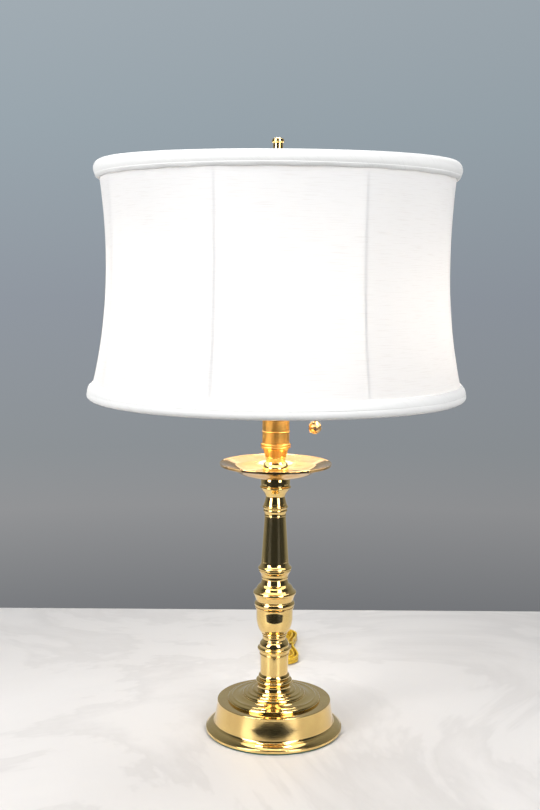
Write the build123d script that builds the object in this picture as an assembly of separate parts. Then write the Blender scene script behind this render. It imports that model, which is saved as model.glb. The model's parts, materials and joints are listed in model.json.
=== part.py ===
from build123d import *
import math
import os

# Candlestick table lamp: turned brass stem on a weighted round base, drip pan, twin pull-chain
# cluster, riser with finial and an eight-panel cloth shade.
# Millimetres. Origin at the middle of the felt's underside, +Z up, front of the lamp towards -Y.

# ---- Driving dimensions --------------------------------------------------------------------

FIT = 0.05                   # radial gap of a close fit inside one assembly
RUN = 0.06                   # radial gap where one piece turns on another
APART = 0.3                  # gap between pieces that move past each other

# Threaded rod that draws the whole stem together
ROD_R = 4.85
ROD_BORE_R = 3.4
ROD_TAIL = 9.0               # length below the weight
ROD_GRIP = 9.0               # length screwed into the cluster hub
STEM_HOLE_R = ROD_R + 0.25

# Felt, base shell and weight
FELT_T = 2.0
FELT_INSET = 2.6
BASE_WALL = 1.2
FLANGE_R = 80.3
FLANGE_H = 5.0
FLANGE_IN_R = 71.0
SWEEP_H = 5.5
DRUM_FOOT_R = 70.0
DRUM_TOP_R = 67.0
DRUM_H = 34.9
DRUM_EDGE = 0.8
LEDGE_R = 54.0
OUTER_RING_H = 3.6
COVE_R = 39.0
COVE_H = 2.6
INNER_RING_R = 34.0
INNER_RING_H = 3.0
SEAT_R = 24.0
SEAT_H = 3.9
WEIGHT_R = 62.0
WEIGHT_H = 14.0
WASHER_R = 16.0
WASHER_T = 1.6
NUT_FLATS = 14.0
NUT_H = 5.0

# Turned pieces of the stem, from the base up
FOOT_H = 18.0
FOOT_R = 20.5
FOOT_WAIST_R = 19.2
FOOT_BEAD_R = 21.2
FOOT_TOP_BEAD_R = 18.6
SLEEVE_H = 23.0
SLEEVE_R = 16.3
SLEEVE_WALL = 1.7
COLLAR_H = 18.5
COLLAR_R = 17.5
COLLAR_BEAD_R = 19.7
COLLAR_NECK_R = 13.3
URN_H = 39.5
URN_FOOT_R = 13.2
URN_RING_R = 15.0
URN_BELLY_R = 21.3
URN_LIP_R = 22.6
URN_WALL = 2.4
TORUS_H = 6.5
TORUS_R = 23.6
KNOP_H = 26.5
KNOP_R = 21.8
KNOP_BEAD_R = 24.8
KNOP_NECK_R = 14.7
BELL_H = 11.5
BELL_R = 18.9
COLUMN_H = 63.0
COLUMN_BEAD_R = 19.6
COLUMN_FOOT_R = 15.8
COLUMN_TOP_R = 12.4
COLUMN_WALL = 1.9
UPPER_H = 14.5
UPPER_FOOT_R = 12.6
UPPER_RING_R = 13.8
UPPER_BEAD_R = 14.8
CUP_H = 33.0
CUP_FOOT_R = 12.9
CUP_WAIST_R = 11.3
CUP_BEAD_R = 18.2
CUP_TOP_R = 16.0

# Drip pan
PAN_T = 1.0
PAN_R = 64.3
PAN_LIP_R = 1.3
PAN_FLOOR_R = 30.0
PAN_BOWL_R = 47.0
PAN_BOWL_H = 8.0
PAN_BRIM_RISE = 2.6

# Neck above the pan and the cluster
NECK_H = 20.5
NECK_FOOT_R = 16.5
NECK_DOME_R = 15.2
NECK_WAIST_R = 11.3
CAP_H = 16.5
CAP_MOUTH_R = 13.6
CAP_BEAD_R = 17.3
BODY_H = 38.5
BODY_R = 15.6
BODY_WALL = 1.2
BODY_RING_UP = 12.8
BODY_RING_H = 1.2
BODY_RING_OUT = 0.6
HUB_H = 24.0
HUB_R = 15.0
HUB_RIM_R = 16.6

# Sockets: two, mirrored left and right, tilted outwards
SOCKET_TILT = 50.0           # degrees from the upright
NIPPLE_IN = 10.5             # distances along the socket axis from the middle of the hub
CAP_AT = 21.0
SHELL_AT = 35.0
SHELL_LEN = 43.0
SHELL_R = 16.2
SHELL_WALL = 0.5
LINER_T = 0.6
SOCKET_CAP_WALL = 0.8
CORE_LEN = 17.0
CONTACT_R = 3.5
CONTACT_H = 4.0
BULB_BASE_R = 13.0
SCREW_WALL = 0.4
SCREW_LEN = 24.0

# Bulbs
BULB_TIP_R = 4.5
BULB_TIP_H = 3.0
BULB_BASE_LEN = 25.0
BULB_LEN = 104.0
BULB_R = 30.0
BULB_WALL = 0.9

# Pull chains
GUIDE_AT = 38.0              # along the socket axis
GUIDE_OUT = 24.5             # out from the socket axis
GUIDE_BORE_R = 2.4
GUIDE_WALL = 1.2
GUIDE_DROP = 9.0
GUIDE_BELL_R = 4.8
CAM_R = 4.6
CAM_LEN = 7.0
BEAD_R = 1.6
BEAD_PITCH = 4.2
LINK_R = 0.5
PULL_BALL_R = 7.7
BALL_SEAM_R = 0.35
BALL_HEIGHTS = {"left": 376.5, "right": 360.0}

# Riser and finial
RISER_R = 4.0
RISER_WALL = 0.9
RISER_GRIP = 6.0
RISER_NUT_FLATS = 11.0
STUD_R = 3.175
STUD_LEN = 13.0
TIP_SEAT_R = 9.0
TIP_SEAT_T = 2.0
TIP_SOCKET = 9.0
FINIAL_H = 34.7
FINIAL_FOOT_R = 8.0
FINIAL_NECK_R = 5.7
FINIAL_CAP_R = 7.0
FINIAL_CAP_H = 6.2
FINIAL_HOLE_DEPTH = 14.5

# Shade: sizes at the middle of the ring wires
RIB_COUNT = 8
RIB_TURN = 26.3              # turn of the nearest rib from the front, degrees
SHADE_BOTTOM_Z = 399.0
SHADE_H = 253.0
WAIST_UP = 147.0             # waist above the bottom ring
TOP_R = 200.0                # outside of the cloth at the top ring
BOTTOM_R = TOP_R + 11.0
RIB_WAIST_R = TOP_R - 4.0
PANEL_WAIST_R = RIB_WAIST_R - 4.4
CLOTH_T = 0.8
RING_WIRE_R = 1.8
RIB_WIRE_R = 1.2
RING_SLACK = 0.55            # between a ring wire and the cloth, which leans in beside it
SPIDER_ARMS = 3
SPIDER_WIRE_R = 1.7
SPIDER_HUB_R = 13.0
SPIDER_HUB_T = 2.0
SPIDER_DROP = 2.0            # hub's underside below the middle of the top ring
TRIM_H = 19.0
TRIM_T = 2.4
TRIM_OVER = 3.6              # how far the trim folds past the ring wire
TRIM_LAP = 8.0               # height of the fold's inner leg

# Mains cord and plug
CORD_R = 2.4
CORD_EXIT_UP = 17.0          # middle of the exit above the flange's underside
BUSHING_R = 5.2
BUSHING_FLANGE_R = 7.0
BUSHING_FLANGE_T = 2.0
BUSHING_TAIL = 22.0
BUSHING_TIP_R = 3.4
FEED_R = 2.2
FEED_BEND_R = 5.0
FEED_LOW = 7.0
FEED_STRAIGHT = 18.0
FEED_TURN_Y = 14.0
HANK_TURNS = 5               # side-to-side steps in each of the two layers
HANK_X = 11.2                # middle of the hank
HANK_NEAR_Y = 240.0          # middles of the end turns
HANK_FAR_Y = 328.0
HANK_IN_R = 11.4             # innermost run from the hank's middle
HANK_PITCH = 5.6             # from one turn to the next in a layer
HANK_LAYER = 5.4             # from one layer to the next
HANK_DRAWN = 7.0             # how far the tie draws the runs in
HANK_LIFT = 0.7              # hank above the table, by the tie's thickness
TIE_W = 8.0
TIE_T = 0.6
PLUG_L = 28.0
PLUG_W = 22.0
PLUG_H = 12.0
PLUG_X_IN = 4.0              # plug's middle, left of the hank's middle
PLUG_LEAD = 22.0             # straight cord between the last turn and the plug
BLADE_W = 6.3
BLADE_T = 1.5
BLADE_L = 17.0
BLADE_GAP = 12.7

# ---- Heights that follow from the stack ----------------------------------------------------

BASE_Z = FELT_T
LEDGE_Z = BASE_Z + DRUM_H
BASE_TOP_Z = LEDGE_Z + OUTER_RING_H + COVE_H + INNER_RING_H + SEAT_H
SLEEVE_Z = BASE_TOP_Z + FOOT_H
COLLAR_Z = SLEEVE_Z + SLEEVE_H
URN_Z = COLLAR_Z + COLLAR_H
TORUS_Z = URN_Z + URN_H
KNOP_Z = TORUS_Z + TORUS_H
BELL_Z = KNOP_Z + KNOP_H
COLUMN_Z = BELL_Z + BELL_H
UPPER_Z = COLUMN_Z + COLUMN_H
CUP_Z = UPPER_Z + UPPER_H
PAN_Z = CUP_Z + CUP_H
NECK_Z = PAN_Z + PAN_T
CAP_Z = NECK_Z + NECK_H
BODY_Z = CAP_Z + CAP_H
HUB_Z = BODY_Z + BODY_H
HUB_MID_Z = HUB_Z + HUB_H / 2
HUB_TOP_Z = HUB_Z + HUB_H
WEIGHT_TOP_Z = LEDGE_Z - BASE_WALL
WEIGHT_Z = WEIGHT_TOP_Z - WEIGHT_H
ROD_Z = WEIGHT_Z - ROD_TAIL
TOP_RING_Z = SHADE_BOTTOM_Z + SHADE_H
SPIDER_Z = TOP_RING_Z - SPIDER_DROP
FINIAL_Z = SPIDER_Z + SPIDER_HUB_T
CORE_AT = SHELL_AT + 1.0
SCREW_AT = CORE_AT + CORE_LEN
BULB_AT = SCREW_AT + CONTACT_H + APART
SCREW_IN_R = BULB_BASE_R + APART
EXIT_Z = BASE_Z + CORD_EXIT_UP
SIDES = ("left", "right")


# ---- Helpers -------------------------------------------------------------------------------

def turned(start, *moves):
    """Solid of revolution about Z. A move is (radius, height) or (radius, height, bulge)."""
    edges = []
    here = start
    for move in moves:
        there = (move[0], move[1])
        if len(move) == 3:
            dr = there[0] - here[0]
            dz = there[1] - here[1]
            length = math.hypot(dr, dz)
            mid_r = (here[0] + there[0]) / 2 + dz / length * move[2]
            mid_z = (here[1] + there[1]) / 2 - dr / length * move[2]
            edges.append(ThreePointArc((here[0], 0, here[1]), (mid_r, 0, mid_z), (there[0], 0, there[1])))
        else:
            edges.append(Line((here[0], 0, here[1]), (there[0], 0, there[1])))
        here = there
    edges.append(Line((here[0], 0, here[1]), (start[0], 0, start[1])))
    return revolve(Face(Wire(edges)), Axis.Z)


def rod(radius, low, high):
    """Upright round bar on the lamp's axis."""
    return Pos(0, 0, low) * Cylinder(radius, high - low, align=(Align.CENTER, Align.CENTER, Align.MIN))


def tube(outer, inner, low, high):
    """Upright round tube on the lamp's axis."""
    return turned((inner, low), (outer, low), (outer, high), (inner, high))


def save(shape, node):
    """Write one node and print what it holds."""
    pieces = shape if isinstance(shape, list) else [shape]
    solids = [solid for piece in pieces for solid in piece.solids()]
    whole = solids[0] if len(solids) == 1 else Compound(children=list(solids))
    export_step(whole, f"parts/{node}.step")
    print(f"{node}: {len(solids)} solid(s), {sum(s.volume for s in solids):.1f} mm3")


# ---- Base ----------------------------------------------------------------------------------

def felt_pad():
    return rod(FLANGE_R - FELT_INSET, 0, FELT_T)


def base_shell():
    """Spun shell: rolled flange, sweep, drum, ledge, outer ring, cove, inner ring and seat."""
    flange_top = BASE_Z + FLANGE_H
    sweep_top = flange_top + SWEEP_H
    outer_top = LEDGE_Z + OUTER_RING_H
    cove_top = outer_top + COVE_H
    inner_top = cove_top + INNER_RING_H
    under = BASE_WALL
    shell = turned(
        (FLANGE_IN_R, BASE_Z),
        (FLANGE_R - 1.0, BASE_Z),
        (FLANGE_R - 1.0, flange_top, 1.0),
        (DRUM_FOOT_R + 3.4, flange_top + 0.6),
        (DRUM_FOOT_R, sweep_top, -1.4),
        (DRUM_TOP_R, LEDGE_Z - DRUM_EDGE),
        (DRUM_TOP_R - DRUM_EDGE, LEDGE_Z, 0.25),
        (LEDGE_R, LEDGE_Z),
        (LEDGE_R - 1.6, outer_top, 1.1),
        (LEDGE_R - 4.6, outer_top + 0.5),
        (LEDGE_R - 7.0, outer_top + 1.1, 0.4),
        (COVE_R, cove_top, -0.5),
        (INNER_RING_R + 2.6, cove_top + 0.4),
        (INNER_RING_R, inner_top, 1.0),
        (INNER_RING_R - 2.0, inner_top + 0.3),
        (INNER_RING_R - 4.6, inner_top + 1.5, 0.6),
        (SEAT_R + 2.0, inner_top + 1.9),
        (SEAT_R, BASE_TOP_Z, 0.4),
        (STEM_HOLE_R, BASE_TOP_Z),
        (STEM_HOLE_R, BASE_TOP_Z - under),
        (SEAT_R - under, BASE_TOP_Z - under),
        (INNER_RING_R - 3.0, inner_top - under),
        (INNER_RING_R - 1.0, cove_top - under),
        (LEDGE_R - 5.0, outer_top - under),
        (LEDGE_R - under, LEDGE_Z - under),
        (DRUM_TOP_R - under, LEDGE_Z - under),
        (DRUM_FOOT_R - under, sweep_top),
        (FLANGE_IN_R, BASE_Z + under),
    )
    return shell - cord_hole()


def cord_hole():
    """Round hole through the back of the drum for the bushing."""
    return Pos(0, DRUM_TOP_R, EXIT_Z) * Rot(-90, 0, 0) * Cylinder(BUSHING_R + FIT, 30)


def base_weight():
    """Flat cast disc hung under the ledge, drilled for the rod."""
    return turned((STEM_HOLE_R, WEIGHT_Z), (WEIGHT_R, WEIGHT_Z), (WEIGHT_R, WEIGHT_TOP_Z), (STEM_HOLE_R, WEIGHT_TOP_Z))


def base_washer():
    return tube(WASHER_R, STEM_HOLE_R, WEIGHT_Z - WASHER_T, WEIGHT_Z)


def hex_nut(flats, bore, low, height):
    """Hexagon nut on the lamp's axis."""
    blank = Pos(0, 0, low) * extrude(RegularPolygon(flats / 2, 6, major_radius=False), height)
    return blank - rod(bore, low - 1, low + height + 1)


def base_locknut():
    return hex_nut(NUT_FLATS, ROD_R + FIT, WEIGHT_Z - WASHER_T - NUT_H, NUT_H)


def threaded_rod():
    return tube(ROD_R, ROD_BORE_R, ROD_Z, HUB_Z + ROD_GRIP)


# ---- Stem ----------------------------------------------------------------------------------

def stem_foot():
    z = BASE_TOP_Z
    return turned(
        (STEM_HOLE_R, z),
        (FOOT_R, z),
        (FOOT_WAIST_R, z + 6.2, -0.8),
        (FOOT_WAIST_R + 0.6, z + 7.6),
        (FOOT_WAIST_R + 0.6, z + 11.6, FOOT_BEAD_R - FOOT_WAIST_R - 0.6),
        (FOOT_TOP_BEAD_R - 1.4, z + 12.4),
        (FOOT_TOP_BEAD_R - 1.0, z + 17.0, 1.0),
        (SLEEVE_R + 0.5, z + FOOT_H),
        (STEM_HOLE_R, z + FOOT_H),
    )


def lower_sleeve():
    return tube(SLEEVE_R, SLEEVE_R - SLEEVE_WALL, SLEEVE_Z, SLEEVE_Z + SLEEVE_H)


def lower_collar():
    z = COLLAR_Z
    return turned(
        (STEM_HOLE_R, z),
        (SLEEVE_R + 0.3, z),
        (SLEEVE_R + 0.3, z + 1.8, 0.7),
        (COLLAR_R - 0.5, z + 2.0),
        (COLLAR_R, z + 5.4),
        (COLLAR_R + 0.8, z + 5.8),
        (COLLAR_R + 0.8, z + 9.6, COLLAR_BEAD_R - COLLAR_R - 0.8),
        (COLLAR_R - 0.2, z + 10.0),
        (COLLAR_NECK_R + 0.2, z + 17.4, 1.3),
        (COLLAR_NECK_R, z + COLLAR_H),
        (STEM_HOLE_R, z + COLLAR_H),
    )


def urn():
    """Vase-shaped piece, hollow above a solid foot."""
    z = URN_Z
    top = z + URN_H
    return turned(
        (STEM_HOLE_R, z),
        (URN_FOOT_R, z),
        (URN_FOOT_R, z + 3.0),
        (URN_FOOT_R, z + 5.0, 0.7),
        (URN_RING_R - 0.9, z + 5.4),
        (URN_RING_R - 0.4, z + 8.0, 0.6),
        (URN_BELLY_R, z + 23.5, 1.7),
        (URN_BELLY_R + 0.5, top - 3.0, 0.15),
        (URN_LIP_R, top - 1.8, -0.2),
        (URN_LIP_R, top),
        (URN_BELLY_R - URN_WALL, top),
        (URN_BELLY_R - URN_WALL, z + 22.0),
        (URN_RING_R - URN_WALL, z + 10.0),
        (STEM_HOLE_R, z + 8.0),
    )


def urn_ring():
    z = TORUS_Z
    return turned(
        (STEM_HOLE_R, z),
        (TORUS_R - 1.5, z),
        (TORUS_R - 1.5, z + TORUS_H, 1.5),
        (STEM_HOLE_R, z + TORUS_H),
    )


def knop():
    """Wide bead between two necks."""
    z = KNOP_Z
    return turned(
        (STEM_HOLE_R, z),
        (KNOP_R, z),
        (KNOP_R, z + 2.0, -0.3),
        (KNOP_R + 1.8, z + 7.0),
        (KNOP_BEAD_R - 0.9, z + 8.0),
        (KNOP_BEAD_R - 1.2, z + 12.6, 1.4),
        (KNOP_R - 0.3, z + 15.0),
        (KNOP_NECK_R + 2.0, z + 20.6, 0.7),
        (KNOP_NECK_R + 1.6, z + 21.6),
        (KNOP_NECK_R, z + KNOP_H),
        (STEM_HOLE_R, z + KNOP_H),
    )


def bell_collar():
    z = BELL_Z
    return turned(
        (STEM_HOLE_R, z),
        (KNOP_NECK_R + 0.7, z),
        (KNOP_NECK_R + 0.9, z + 3.2, 0.2),
        (BELL_R - 0.7, z + 8.4, -0.4),
        (BELL_R, z + 9.6),
        (BELL_R, z + BELL_H),
        (STEM_HOLE_R, z + BELL_H),
    )


def tapered_column():
    """Long tapering tube that flares to a bead at its foot."""
    z = COLUMN_Z
    top = z + COLUMN_H
    return turned(
        (COLUMN_FOOT_R - COLUMN_WALL, z),
        (COLUMN_BEAD_R - 0.5, z),
        (COLUMN_BEAD_R - 0.4, z + 2.6, 0.5),
        (COLUMN_FOOT_R + 0.3, z + 9.5, -1.0),
        (COLUMN_TOP_R, top),
        (COLUMN_TOP_R - COLUMN_WALL, top),
    )


def upper_collar():
    z = UPPER_Z
    return turned(
        (STEM_HOLE_R, z),
        (UPPER_FOOT_R, z),
        (UPPER_FOOT_R, z + 1.8, 0.2),
        (UPPER_RING_R - 0.4, z + 5.0, -0.2),
        (UPPER_RING_R, z + 5.6),
        (UPPER_RING_R - 0.3, z + 8.2, 0.4),
        (UPPER_BEAD_R - 0.9, z + 9.2),
        (UPPER_BEAD_R - 0.9, z + 12.2, 0.9),
        (CUP_FOOT_R + 0.4, z + UPPER_H),
        (STEM_HOLE_R, z + UPPER_H),
    )


def candle_cup():
    """Waisted spool that opens into the cup under the pan."""
    z = CUP_Z
    top = z + CUP_H
    return turned(
        (STEM_HOLE_R, z),
        (CUP_FOOT_R, z),
        (CUP_WAIST_R, z + 8.6, -0.5),
        (CUP_WAIST_R + 0.5, z + 9.6),
        (CUP_TOP_R - 0.5, z + 15.6, -0.5),
        (CUP_BEAD_R - 0.8, z + 18.2),
        (CUP_BEAD_R - 0.8, z + 20.8, 0.8),
        (CUP_TOP_R + 0.9, z + 21.8),
        (CUP_TOP_R, top, 0.4),
        (STEM_HOLE_R, top),
    )


def drip_pan():
    """Thin dish: flat floor, curved bowl, nearly flat brim and rolled lip."""
    z = PAN_Z
    brim_in = z + PAN_BOWL_H
    brim_out = brim_in + PAN_BRIM_RISE
    lip_in_r = PAN_R - 2 * PAN_LIP_R
    return turned(
        (STEM_HOLE_R, z),
        (PAN_FLOOR_R, z),
        (PAN_BOWL_R, brim_in, 2.2),
        (lip_in_r, brim_out),
        (PAN_R - PAN_LIP_R, brim_out - 0.6),
        (PAN_R - PAN_LIP_R, brim_out + PAN_T + 0.9, PAN_LIP_R),
        (lip_in_r, brim_out + PAN_T),
        (PAN_BOWL_R - 0.4, brim_in + PAN_T),
        (PAN_FLOOR_R - 0.4, z + PAN_T, -2.2),
        (STEM_HOLE_R, z + PAN_T),
    )


def pan_neck():
    z = NECK_Z
    return turned(
        (STEM_HOLE_R, z),
        (NECK_FOOT_R, z),
        (NECK_FOOT_R - 0.3, z + 2.5, 0.5),
        (NECK_DOME_R, z + 6.0, -0.3),
        (NECK_DOME_R, z + 7.2),
        (NECK_WAIST_R + 0.8, z + 14.2, 0.8),
        (NECK_WAIST_R, z + 15.0),
        (NECK_WAIST_R, z + NECK_H),
        (STEM_HOLE_R, z + NECK_H),
    )


# ---- Cluster -------------------------------------------------------------------------------

def cluster_cap():
    """Flared cup with a double bead, under the cluster body."""
    z = CAP_Z
    return turned(
        (STEM_HOLE_R, z),
        (NECK_WAIST_R + 0.8, z),
        (CAP_MOUTH_R - 0.4, z + 4.4),
        (CAP_MOUTH_R + 0.4, z + 7.0, -0.1),
        (BODY_R - 0.1, z + 10.0, -0.3),
        (CAP_BEAD_R - 0.9, z + 10.6),
        (CAP_BEAD_R - 0.9, z + 13.0, 0.8),
        (CAP_BEAD_R - 1.1, z + 13.4),
        (CAP_BEAD_R - 0.8, z + 15.8, 0.9),
        (BODY_R + 0.2, z + CAP_H),
        (STEM_HOLE_R, z + CAP_H),
    )


def cluster_body():
    """Straight tube with one fine raised ring."""
    ring = BODY_Z + BODY_RING_UP
    return turned(
        (BODY_R - BODY_WALL, BODY_Z),
        (BODY_R, BODY_Z),
        (BODY_R, ring),
        (BODY_R, ring + BODY_RING_H, BODY_RING_OUT),
        (BODY_R, BODY_Z + BODY_H),
        (BODY_R - BODY_WALL, BODY_Z + BODY_H),
    )


def aim(side):
    """Turn that points Z along a socket's axis, from the middle of the hub."""
    tilt = SOCKET_TILT if side == "right" else -SOCKET_TILT
    return Pos(0, 0, HUB_MID_Z) * Rot(0, tilt, 0)


def cluster_hub():
    """Turned block that takes the rod below, the riser above and the two nipples."""
    top = HUB_TOP_Z
    block = turned(
        (0, HUB_Z),
        (HUB_RIM_R, HUB_Z),
        (HUB_RIM_R, HUB_Z + 2.4, 0.8),
        (HUB_R, HUB_Z + 3.2),
        (HUB_R, top - 4.0, 0.9),
        (HUB_R - 6.0, top, 1.4),
        (0, top),
    )
    block -= rod(ROD_R + FIT, HUB_Z - 1, HUB_Z + ROD_GRIP)
    block -= rod(ROD_BORE_R, HUB_Z, top - RISER_GRIP - 2.0)
    block -= rod(RISER_R + FIT, top - RISER_GRIP, top + 1)
    for side in SIDES:
        block -= aim(side) * rod(ROD_R + FIT, NIPPLE_IN, HUB_R * 2)
        block -= aim(side) * rod(ROD_BORE_R, 0, NIPPLE_IN + 1)
    return block


def cluster_nipples():
    """Two short threaded nipples from the hub into the socket caps."""
    nipple = tube(ROD_R, ROD_BORE_R, NIPPLE_IN, CAP_AT + 7.0)
    return aim("left") * nipple + aim("right") * nipple


def socket_cap(side):
    """Domed cap whose skirt holds the shell."""
    wall = SOCKET_CAP_WALL
    out_r = SHELL_R + FIT + wall
    skirt = SHELL_AT + 4.0
    cap = turned(
        (ROD_R + FIT, CAP_AT),
        (7.4, CAP_AT),
        (7.4, CAP_AT + 2.6),
        (out_r, SHELL_AT - 1.0, 2.6),
        (out_r, skirt),
        (out_r - wall, skirt),
        (out_r - wall, SHELL_AT - 1.0),
        (7.4, CAP_AT + 2.6 + 1.6, -2.6),
        (ROD_R + FIT, CAP_AT + 2.6 + 1.6),
    )
    return aim(side) * cap - guide_hole(side)


def socket_shell(side):
    end = SHELL_AT + SHELL_LEN
    shell = turned(
        (SHELL_R - SHELL_WALL, SHELL_AT),
        (SHELL_R, SHELL_AT),
        (SHELL_R, end - 6.0),
        (SHELL_R, end - 4.4, 0.5),
        (SHELL_R, end),
        (SHELL_R - SHELL_WALL, end),
    )
    return aim(side) * shell - guide_hole(side)


def socket_liners():
    """Paper insulating sleeves inside the shells."""
    outer = SHELL_R - SHELL_WALL - FIT
    liners = Part()
    for side in SIDES:
        liner = tube(outer, outer - LINER_T, SHELL_AT + 0.5, SHELL_AT + SHELL_LEN - 0.5)
        liners += aim(side) * liner - guide_hole(side)
    return liners


def cam_place(side):
    """Middle of the switch cam, inside the socket core."""
    return aim(side) * Pos(0, 0, GUIDE_AT + 4.0) * Rot(90, 0, 0)


def socket_core(side):
    """Moulded insulator with the switch's hollow and the passage for the chain."""
    core_r = SHELL_R - SHELL_WALL - LINER_T - 2 * FIT
    core = aim(side) * rod(core_r, CORE_AT, SCREW_AT)
    core -= cam_place(side) * Cylinder(CAM_R + APART, CAM_LEN + 2 * APART)
    return core - guide_bore(side, GUIDE_BORE_R)


def switch_cam(side):
    """Rotor with one flat, turned by the pull chain."""
    drum = Cylinder(CAM_R, CAM_LEN)
    flat = Pos(CAM_R, 0, 0) * Box(CAM_R * 0.6, CAM_R * 2, CAM_LEN * 0.4)
    return cam_place(side) * (drum - flat)


def screw_shells():
    """Screw shells: thin cups that take the bulbs."""
    cups = Part()
    for side in SIDES:
        cup = turned(
            (CONTACT_R + 2.0, SCREW_AT),
            (SCREW_IN_R + SCREW_WALL, SCREW_AT),
            (SCREW_IN_R + SCREW_WALL, SCREW_AT + SCREW_LEN),
            (SCREW_IN_R, SCREW_AT + SCREW_LEN),
            (SCREW_IN_R, SCREW_AT + SCREW_WALL),
            (CONTACT_R + 2.0, SCREW_AT + SCREW_WALL),
        )
        cups += aim(side) * cup
    return cups


def centre_contacts():
    button = rod(CONTACT_R, SCREW_AT, SCREW_AT + CONTACT_H)
    return aim("left") * button + aim("right") * button


# ---- Pull chains ---------------------------------------------------------------------------

def guide_turn(side):
    """Place on the socket's underside, with Z pointing out of the socket."""
    away = 90 if side == "right" else -90
    return aim(side) * Pos(0, 0, GUIDE_AT) * Rot(0, away, 0)


def guide_mouth(side):
    """Point where the guide turns downwards."""
    return (guide_turn(side) * Pos(0, 0, GUIDE_OUT)).position


def guide_bore(side, radius):
    """Bar from the socket's axis out to the guide's bend."""
    return guide_turn(side) * rod(radius, 0, GUIDE_OUT)


def guide_hole(side):
    return guide_turn(side) * rod(GUIDE_BORE_R + GUIDE_WALL + FIT, SHELL_R - 6.0, GUIDE_OUT)


def chain_guide(side):
    """Elbow: a short arm out of the socket, a ball and a bell that opens downwards."""
    mouth = guide_mouth(side)
    outer = GUIDE_BORE_R + GUIDE_WALL
    core_r = SHELL_R - SHELL_WALL - LINER_T - 2 * FIT
    arm = guide_turn(side) * rod(outer, core_r - 0.2, GUIDE_OUT)
    bell = turned(
        (0, -GUIDE_DROP),
        (GUIDE_BELL_R, -GUIDE_DROP),
        (outer, -GUIDE_DROP + 3.4, -0.5),
        (outer, 0),
        (0, 0),
    )
    body = arm + Pos(mouth) * (Sphere(outer) + bell)
    body -= aim(side) * rod(core_r, 0, SHELL_AT + SHELL_LEN)
    body -= guide_bore(side, GUIDE_BORE_R)
    passage = rod(GUIDE_BORE_R, -GUIDE_DROP - 1, 0) + Sphere(GUIDE_BORE_R)
    return body - Pos(mouth) * passage


def pull_chain(side):
    """Ball chain: beads on a link wire, from inside the guide down to the pull."""
    mouth = guide_mouth(side)
    low = BALL_HEIGHTS[side] + PULL_BALL_R
    top = mouth.Z - 0.6
    count = int((top - low) / BEAD_PITCH) + 1
    pitch = (top - low) / count
    chain = rod(LINK_R, low, top)
    for index in range(1, count + 1):
        chain += Pos(0, 0, low + pitch * index) * Sphere(BEAD_R)
    ferrule = rod(BEAD_R, low, low + 2.0)
    return Pos(mouth.X, 0, 0) * (chain + ferrule)


def pull_ball(side):
    """Hollow ball of two halves with a groove round the middle."""
    mouth = guide_mouth(side)
    ball = Sphere(PULL_BALL_R) - Sphere(PULL_BALL_R - 0.8)
    groove = Torus(PULL_BALL_R, BALL_SEAM_R)
    cap = Pos(0, 0, PULL_BALL_R + 1) * Box(4, 4, 2)
    return Pos(mouth.X, 0, BALL_HEIGHTS[side]) * (ball - groove - cap)


# ---- Bulbs ---------------------------------------------------------------------------------

def bulb_base(side):
    """Contact tip, insulator cone and screw cap."""
    tip = BULB_AT
    cap_low = tip + BULB_TIP_H
    end = BULB_AT + BULB_BASE_LEN
    return aim(side) * turned(
        (0, tip),
        (BULB_TIP_R, tip),
        (BULB_TIP_R, tip + 1.0),
        (BULB_BASE_R - 2.0, cap_low),
        (BULB_BASE_R, cap_low + 1.5),
        (BULB_BASE_R, end),
        (BULB_BASE_R - 1.5, end),
        (BULB_BASE_R - 1.5, cap_low + 4.0),
        (0, cap_low + 4.0),
    )


def bulb_glass(side):
    """Pear-shaped glass, open inside."""
    low = BULB_AT + BULB_BASE_LEN
    top = BULB_AT + BULB_LEN
    mid = top - BULB_R
    wall = BULB_WALL
    neck = BULB_BASE_R
    join_z = mid - BULB_R * math.cos(math.radians(62))
    join_r = BULB_R * math.sin(math.radians(62))
    neck_z = low + 12.0
    half = math.sqrt(0.5)
    outer = [
        Line((0, 0, low), (neck, 0, low)),
        ThreePointArc((neck, 0, low), ((neck + neck + 1.4) / 2 - 0.2, 0, low + 6.5), (neck + 1.4, 0, neck_z)),
        ThreePointArc((neck + 1.4, 0, neck_z), ((neck + 1.4 + join_r) / 2 - 0.9, 0, (neck_z + join_z) / 2 + 0.9),
                      (join_r, 0, join_z)),
        ThreePointArc((join_r, 0, join_z), (BULB_R * half, 0, mid + BULB_R * half), (0, 0, top)),
        Line((0, 0, top), (0, 0, low)),
    ]
    glass = revolve(Face(Wire(outer)), Axis.Z)
    hollow = Pos(0, 0, mid) * Sphere(BULB_R - wall) + rod(neck - 1.5, low + wall, mid)
    return aim(side) * (glass - hollow)


# ---- Riser and finial ----------------------------------------------------------------------

def riser_tube():
    """Plain tube from the hub up to the tip."""
    return tube(RISER_R, RISER_R - RISER_WALL, HUB_TOP_Z - RISER_GRIP, SPIDER_Z - TIP_SEAT_T)


def riser_nut():
    return hex_nut(RISER_NUT_FLATS, RISER_R + FIT, HUB_TOP_Z, NUT_H)


def riser_tip():
    """Seat for the shade with a threaded stud above and a shank inside the tube."""
    seat = SPIDER_Z
    return turned(
        (0, seat - TIP_SEAT_T - TIP_SOCKET),
        (RISER_R - RISER_WALL - FIT, seat - TIP_SEAT_T - TIP_SOCKET),
        (RISER_R - RISER_WALL - FIT, seat - TIP_SEAT_T),
        (TIP_SEAT_R, seat - TIP_SEAT_T),
        (TIP_SEAT_R, seat),
        (STUD_R, seat),
        (STUD_R, seat + STUD_LEN - 0.6),
        (STUD_R - 0.6, seat + STUD_LEN),
        (0, seat + STUD_LEN),
    )


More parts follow.
